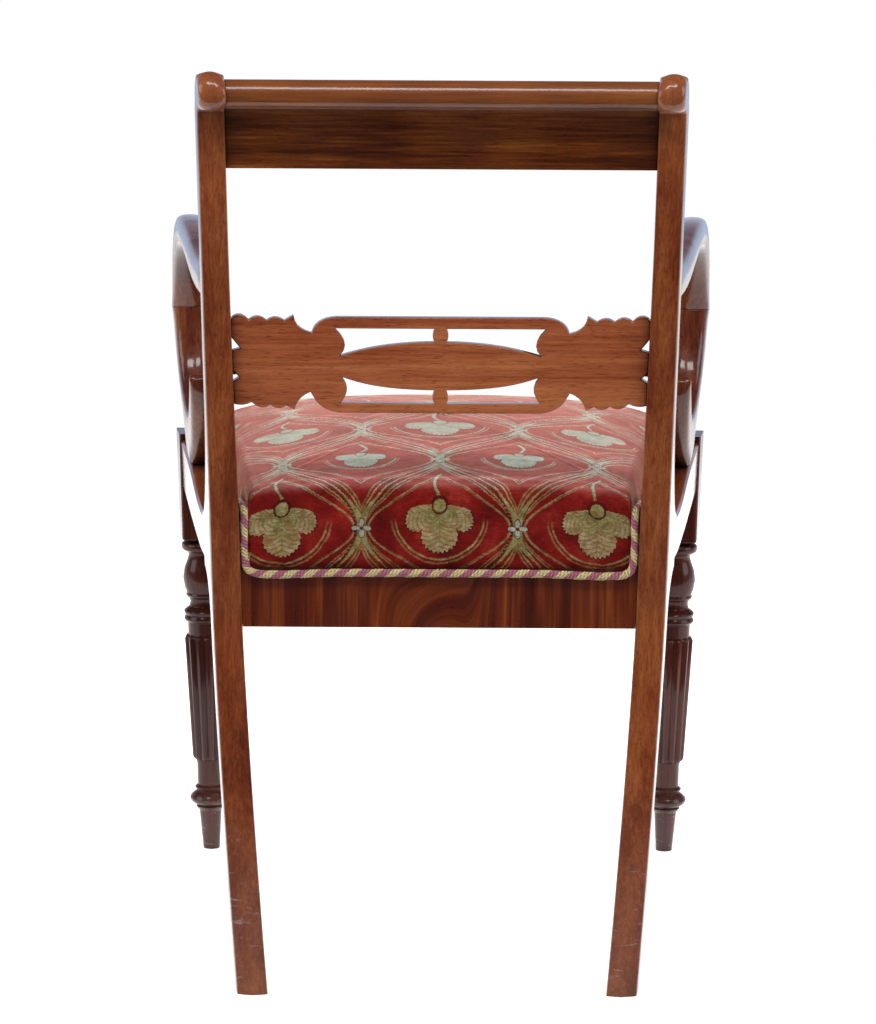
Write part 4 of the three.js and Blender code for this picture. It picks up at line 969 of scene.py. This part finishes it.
hair_offset = COVER_THICKNESS + 4 * FIT
hair_rings = seat_rings(hair_offset, stuffing_foot, STUFFING_STEPS)
core = hair_rings[0] * [1, 1, 0] + [0, 0, STUFFING_BOTTOM]
core[:, 1] = np.clip(core[:, 1], INNER_FRONT + 2 * FIT, INNER_BACK - 2 * FIT)
core_top = core * [1, 1, 0] + [0, 0, RAIL_TOP + 2 * FIT]
hair_rings = np.concatenate([np.stack([core, core_top]), hair_rings])
horsehair = felted_hair("horsehair_curled")
stuffing = mesh_from_rings("horsehair_stuffing", in_place(hair_rings), horsehair)
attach(stuffing, "root")
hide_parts("seat_stuffing")
print("stuffing:", len(stuffing.data.vertices), "points")

# %% [markdown]
# ## The twisted cord
# The edge of the velvet is hidden by a silk cord: six strands laid round each other, three
# of plain rose silk and three of gold thread with a knotted, beady surface. Each strand is a
# circle carried along a helix, and the helix is carried along the cord's way round the seat.
# The way is a smooth curve through a few points, the same as in the CAD model.

# %% The cord's way round the seat
LUG_SHARES, RAIL_SHARES = np.array([0.4, 0.7, 1]), np.array([0.15, 0.3, 0.45, 0.6, 0.75, 0.9])


def cord_points():
    """Half of the way, from the middle of the back to the middle of the front, and its mirror
    image."""
    clear = CORD_RADIUS + CORD_GAP
    run_z = SKIRT_BOTTOM - clear
    back_y = -BACK_RAIL_INSET + clear
    front_y = SQUARE_FRONT + FRONT_RAIL_INSET - clear
    corner_y = SQUARE_BACK + clear
    bend = 1.5 * CORD_RADIUS
    rail_start, rail_length = -LUG_REACH - FIT, SQUARE_BACK + LUG_REACH + 2 * FIT
    side_y = np.concatenate([-LUG_REACH * LUG_SHARES, rail_start + rail_length * RAIL_SHARES])
    side_z = cord_height(side_y)
    top_z, corner_z, bend_z = cord_height(np.array([0.0, corner_y, corner_y + bend])).tolist()
    low_x, top_x = outer_x(back_y, run_z) - CORD_INSET, outer_x(front_y, run_z) - SQUARE_CORD_INSET
    beside = [(back_y, run_z + bend), (back_y, CORD_TURN_LEVEL - bend), (back_y - bend, top_z)]
    beside += [*zip(side_y, side_z), (corner_y + bend, bend_z)]
    half = [(0, back_y, run_z), (low_x / 2, back_y, run_z), (low_x - bend, back_y, run_z)]
    half += [(outer_x(y, z) - CORD_INSET, y, z) for y, z in beside]
    corner_x = outer_x(corner_y, corner_z) - (CORD_INSET + SQUARE_CORD_INSET) / 2
    half.append((corner_x, corner_y, corner_z))
    square = [(corner_y - bend, corner_z), (front_y + bend, CORD_TURN_LEVEL)]
    square += [(front_y, CORD_TURN_LEVEL - bend), (front_y, run_z + bend)]
    half += [(outer_x(y, z) - SQUARE_CORD_INSET, y, z) for y, z in square]
    half += [(top_x - bend, front_y, run_z), (top_x / 2, front_y, run_z), (0, front_y, run_z)]
    half = np.array(half, float)
    return np.concatenate([half, half[1:-1][::-1] * [-1, 1, 1]])


def closed_curve(points, steps):
    """Centripetal Catmull-Rom: cubics whose parameter runs as the square root of the distance
    between points."""
    a, b, c, d = (np.roll(points, shift, 0)[:, None] for shift in (1, 0, -1, -2))
    spans = (b - a, c - b, d - c)
    root = [np.sqrt(np.linalg.norm(span, axis=2, keepdims=True)) for span in spans]
    first = ((b - a) / root[0] - (c - a) / (root[0] + root[1]) + (c - b) / root[1]) * root[1]
    second = ((c - b) / root[1] - (d - b) / (root[1] + root[2]) + (d - c) / root[2]) * root[1]
    t = (np.arange(steps) / steps)[None, :, None]
    square, cube = 3 * (c - b) - 2 * first - second, 2 * (b - c) + first + second
    return (b + first * t + square * t**2 + cube * t**3).reshape(-1, 3)


def even_steps(curve, step):
    """The closed curve again, in equal steps of about the given length."""
    closed = np.concatenate([curve, curve[:1]])
    run = np.concatenate([[0], np.cumsum(np.linalg.norm(np.diff(closed, axis=0), axis=1))])
    count = int(run[-1] / step)
    even = np.arange(count) * run[-1] / count
    return np.stack([np.interp(even, run, closed[:, k]) for k in range(3)], 1), run[-1]


way, cord_length = even_steps(closed_curve(cord_points(), 60), 1.0)
print("cord:", round(cord_length), "mm round the seat")

# %% The six strands
STRANDS = 6
STRAND_RADIUS = 1.32
HELIX_RADIUS = 2.62
PITCH = 19.7
BEAD_LENGTH = 2.9
BEAD_HEIGHT, GOLD_THINNING, ROSE_THINNING = 0.95, -0.75, -0.16
STRAND_POINTS = 8
THREAD_SPACING = 3.2 * MM


def twisted_silk(name, stops, shadow, roughness):
    """Fine threads that run slantwise round a strand, whose own places give the direction: bright
    where sin(2 pi run / 3.2 mm + 3 turns) is high, and painted shade between the strands."""
    material, tree, shader = new_material(name)
    cloth = add(tree, "ShaderNodeUVMap", uv_map="cloth")
    run, turns, _ = xyz(cloth)
    slant = run * (2 * math.pi / THREAD_SPACING) + turns * (6 * math.pi)
    thread = calc("SINE", slant) * 0.5 + 0.5
    figure = thread * 0.4 + noise(cloth, [300, 8, 1], 3.0, 0.6) * 0.6
    # painted shade between the strands and where the cord lies against the rail
    painted_shade_between_strands = hollow(tree, 4 * MM, 0.3, 0.75, samples=8) * 0.9
    fill(shader, {"Base Color": blend_colour(painted_shade_between_strands, ramp(figure, stops), shadow)})
    fill(shader, {"Normal": relief(thread, 0.3 * MM, 0.6)})
    fill(shader, {"Roughness": roughness, "Sheen Weight": 0.3})
    return material


def carried_frame(curve):
    """Unit tangent, and the outward direction from the seat's middle made square to it."""
    tangent = np.roll(curve, -1, 0) - np.roll(curve, 1, 0)
    tangent /= np.linalg.norm(tangent, axis=1)[:, None]
    outward = curve * [1, 1, 0] - [0, MIDDLE, 0]
    outward -= (outward * tangent).sum(1)[:, None] * tangent
    outward /= np.linalg.norm(outward, axis=1)[:, None]
    return tangent, outward, np.cross(tangent, outward)


def strand_rings(start, radius):
    """A circle of the given radius (one for each step), on a helix that starts at the given
    angle."""
    _, outward, upward = carried_frame(way)
    turns = round(cord_length / PITCH)
    angle = (start - 2 * np.pi * turns * np.arange(len(way)) / len(way))[:, None]
    centre = way + HELIX_RADIUS * (np.cos(angle) * outward + np.sin(angle) * upward)
    _, side, over = carried_frame(centre)
    around = np.linspace(0, 2 * np.pi, STRAND_POINTS, endpoint=False)[None, :, None]
    circle = np.cos(around) * side[:, None] + np.sin(around) * over[:, None]
    return centre[:, None] + radius[:, None, None] * circle


ROSE = [(0.2, "#7c2e42"), (0.5, "#a84e64"), (0.8, "#d68e9e")]
GOLD = [(0.2, "#9c8448"), (0.5, "#d2bb7e"), (0.8, "#f2e6b8")]
rose = twisted_silk("silk_twisted_rose", ROSE, "#3a0c14", 0.5)
gold = twisted_silk("silk_beaded_gold", GOLD, "#3c2c0c", 0.55)
run_along = np.arange(len(way)) * cord_length / len(way)
turn_share = np.linspace(0, 1, STRAND_POINTS)
strand_places = np.stack(np.broadcast_arrays(run_along[:, None] * MM, turn_share[None]), -1)
for number in range(STRANDS):
    golden = number < STRANDS // 2
    beads = np.sqrt(np.abs(np.sin(np.pi * run_along / BEAD_LENGTH)))
    swelling = BEAD_HEIGHT * beads + GOLD_THINNING if golden else np.full(len(way), ROSE_THINNING)
    rings = strand_rings(2 * np.pi * number / STRANDS, STRAND_RADIUS + swelling)
    name = f"cord_{'gold' if golden else 'rose'}_strand_{number % 3 + 1}"
    silk = gold if golden else rose
    strand = mesh_from_rings(name, in_place(rings), silk, looped=True, uvs=strand_places)
    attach(strand, "root")
    if number == 0:
        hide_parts("seat_cord")
print("strands:", STRANDS, "of", len(way) * STRAND_POINTS, "points")

# %% [markdown]
# ## Webbing and hessian
# Under the stuffing seven straps of jute webbing cross over and under each other, nailed to the
# ledge of the frame, and a sheet of hessian lies on them. A strap's middle line is a table
# of heights from one crossing to the next, rounded a little, and its section is a flat ring.

# %% Jute straps and the hessian sheet
STRAP_WIDTH = 48
STRAP_THICKNESS = 1.5
STRAP_LOW, STRAP_HIGH = 403.05, 405.05
CROSSING_REACH = 24.5
STATIONS = 161


def woven_jute(name, spacing, stops, striped):
    """Plain weave: two sines across each other, with threads a real distance apart; webbing has two
    brown stripes."""
    material, tree, shader = new_material(name)
    cloth = add(tree, "ShaderNodeUVMap", uv_map="cloth")
    along, across, _ = xyz(cloth)
    warp, weft = (calc("SINE", way * (math.pi / spacing)) for way in (along, across))
    weave = warp * weft * 0.5 + 0.5
    colour = ramp(noise(cloth, [300, 40, 1], 3.0, 0.6) * 0.6 + weave * 0.4, stops)
    if striped:
        stripe = inside(abs(abs(across) - 16 * MM), 1.5 * MM)
        colour = blend_colour(stripe * 0.7, colour, "#5a3220")
    fill(shader, {"Base Color": colour, "Normal": relief(weave, 0.5 * MM, 0.7), "Roughness": 0.9})
    return material


def strap_rings(low_end, high_end, crossings, first_over, across_at, lengthwise):
    """Stations along the strap, each a flat ring of 14 points with its edges drawn thin."""
    run = np.linspace(low_end, high_end, STATIONS)
    over = np.arange(len(crossings)) % 2 == first_over
    stations = np.concatenate([[c - CROSSING_REACH, c + CROSSING_REACH] for c in crossings])
    levels = np.repeat(np.where(over, STRAP_HIGH, STRAP_LOW), 2)
    order = np.argsort(stations)
    level = np.interp(run, stations[order], levels[order], STRAP_LOW, STRAP_LOW)
    level = np.convolve(np.pad(level, 2, mode="edge"), np.ones(5) / 5, "valid")
    half = np.linspace(-1, 1, 7)
    thin = np.where(np.abs(half) > 0.99, 0.55, 1.0) * STRAP_THICKNESS / 2
    flat = np.concatenate([half, half[::-1]]) * STRAP_WIDTH / 2
    rise = np.concatenate([-thin, thin[::-1]])
    station, flat, height = np.broadcast_arrays(run[:, None], flat[None], level[:, None] + rise)
    sideways = across_at + flat
    uvs = np.stack([station, flat], -1) * MM
    if lengthwise:
        return np.stack([sideways, station, height], -1)[::-1], uvs[::-1]
    return np.stack([station, sideways, height], -1), uvs


JUTE = [(0.3, "#7d6540"), (0.5, "#a58a5c"), (0.7, "#c2a878")]
webbing = woven_jute("jute_webbing_woven", 1.8 * MM, JUTE, True)
hessian_cloth = woven_jute("jute_hessian_woven", 1.4 * MM, JUTE, False)


def middle_of(node, axis):
    """Middle of a CAD node's box on one axis, in millimetres."""
    low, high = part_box(node)
    return (low[axis] + high[axis]) / 2 / MM - (BACK_PLANE / MM if axis == 1 else 0)


lengthwise = [middle_of(f"lengthwise_strap_{k + 1}", 0) for k in range(4)]
crosswise = [middle_of(f"crosswise_strap_{k + 1}", 1) for k in range(3)]
jobs = [(f"lengthwise_strap_{k + 1}", 1, crosswise, k % 2, lengthwise[k]) for k in range(4)]
jobs += [(f"crosswise_strap_{k + 1}", 0, lengthwise, (k + 1) % 2, crosswise[k]) for k in range(3)]
for node, axis, crossings, first_over, across_at in jobs:
    low, high = (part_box(node)[k][axis] / MM - (BACK_PLANE / MM if axis == 1 else 0) for k in (0, 1))
    rings, uvs = strap_rings(low, high, crossings, first_over, across_at, axis == 1)
    strap = mesh_from_rings("webbing_" + node, in_place(rings), webbing, uvs=uvs)
    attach(strap, "root")
    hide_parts(node)

HESSIAN_BOTTOM, HESSIAN_TOP = 406.1, 406.9
HESSIAN_Y, HESSIAN_INSETS = (-33.3, -414.3, -414.4, -435.7), (35.3, 35.3, 47.7, 47.7)
sheet_y = np.array(HESSIAN_Y)
sheet_half = outer_x(sheet_y, HESSIAN_BOTTOM) - HESSIAN_INSETS
sheet_side = np.stack([sheet_half, sheet_y], 1)
plan = np.concatenate([sheet_side, sheet_side[::-1] * [-1, 1]])
levels = (HESSIAN_TOP, HESSIAN_BOTTOM)
sheet_rings = np.stack([np.column_stack([plan, np.full(len(plan), z)]) for z in levels])
sheet_places = sheet_rings[..., :2] * MM
hessian = mesh_from_rings("hessian_sheet", in_place(sheet_rings), hessian_cloth, uvs=sheet_places)
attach(hessian, "root")
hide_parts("hessian")
cut = (float(2 * sheet_half.max()) * MM, float(np.ptp(sheet_y)) * MM)
print("straps:", len(jobs), "and the hessian, cut to", [round(side, 3) for side in cut], "m")

# %% [markdown]
# ## The studio
# A white floor and a white background, with soft light from large lamps: one above and
# in front of the camera, one beyond the chair, which grazes the velvet, and one at each
# side. The polish mirrors the white backdrop beyond the chair, so edges that the eye
# glances along turn pale, while the room behind the camera is dim. The background is white
# because the camera's own rays see it so, and not because more light falls on the chair.

# %% Floor, background and lamps
DAYLIGHT = 0.42
LAMP_AIM = 0.45


def studio_floor():
    """A pale plane, lit like the rest, to which the camera's rays add white, so that only a faint
    shadow is left. It ends under the camera's side, so the wood doesn't mirror it there."""
    material, tree, shader = new_material("studio_floor")
    fill(shader, {"Base Color": linear("#d9d9d9"), "Roughness": 1.0, "Specular IOR Level": 0.0})
    rays = add(tree, "ShaderNodeLightPath")
    direct = calc("MAXIMUM", rays.out("Is Camera Ray"), rays.out("Is Glossy Ray"))
    glow = add(tree, "ShaderNodeEmission", {"Color": (1, 1, 1, 1), "Strength": direct * 0.7})
    both = add(tree, "ShaderNodeAddShader", {0: Value(shader.outputs[0]), 1: glow})
    fill(tree.nodes["Material Output"], {"Surface": both})
    half, near = 6.0, 0.62
    mesh = bpy.data.meshes.new("studio_floor")
    corners = [(-half, -half, 0), (half, -half, 0), (half, near, 0), (-half, near, 0)]
    mesh.from_pydata(corners, [], [(0, 1, 2, 3)])
    mesh.materials.append(material)
    floor = bpy.data.objects.new("studio_floor", mesh)
    scene.collection.objects.link(floor)


def soft_lamp(name, place, size, power, depth=None, mirrored=True):
    """An area lamp that faces the seat, square unless its depth is given too."""
    data = bpy.data.lights.new(name, "AREA")
    data.shape = "RECTANGLE"
    data.size = size
    data.size_y = depth or size
    data.energy = power
    lamp = bpy.data.objects.new(name, data)
    scene.collection.objects.link(lamp)
    lamp.location = place
    away = lamp.location - Vector((0, 0, LAMP_AIM))
    lamp.rotation_mode = "QUATERNION"
    lamp.rotation_quaternion = away.to_track_quat("Z", "Y")
    lamp.visible_glossy = mirrored


def studio_world():
    """White to the camera; to the polish a cool backdrop beyond the chair, near the ground, and dark
    elsewhere; and an even daylight to all else."""
    world = bpy.data.worlds.new("studio")
    world.use_nodes = True
    scene.world = world
    tree = world.node_tree
    rays = add(tree, "ShaderNodeLightPath")
    glossy = rays.out("Is Glossy Ray")
    seen = calc("MAXIMUM", rays.out("Is Camera Ray"), rays.out("Is Transmission Ray"))
    _, beyond, upward = xyz(add(tree, "ShaderNodeTexCoord"))
    low = 1.0 - step_between(upward, 0.12, 0.45)
    backdrop = step_between(beyond * -1.0, 0.0, 0.5) * low
    strength = calc("MAXIMUM", seen, (1.0 - glossy) * DAYLIGHT + (backdrop * 0.96 + 0.04) * glossy)
    colour = blend_colour(glossy, "#ffffff", "#c3d8f6")
    fill(tree.nodes["Background"], {"Color": colour, "Strength": strength})


studio_floor()
studio_world()
soft_lamp("lamp_above", (0.0, 1.6, 2.6), 2.2, 34, depth=0.5)
soft_lamp("lamp_left", (2.2, 0.6, 1.3), 1.4, 16)
soft_lamp("lamp_right", (-2.2, 0.6, 1.3), 1.4, 16)
soft_lamp("lamp_front", (0.0, -2.4, 1.5), 1.6, 60, mirrored=False)
print("studio ready")
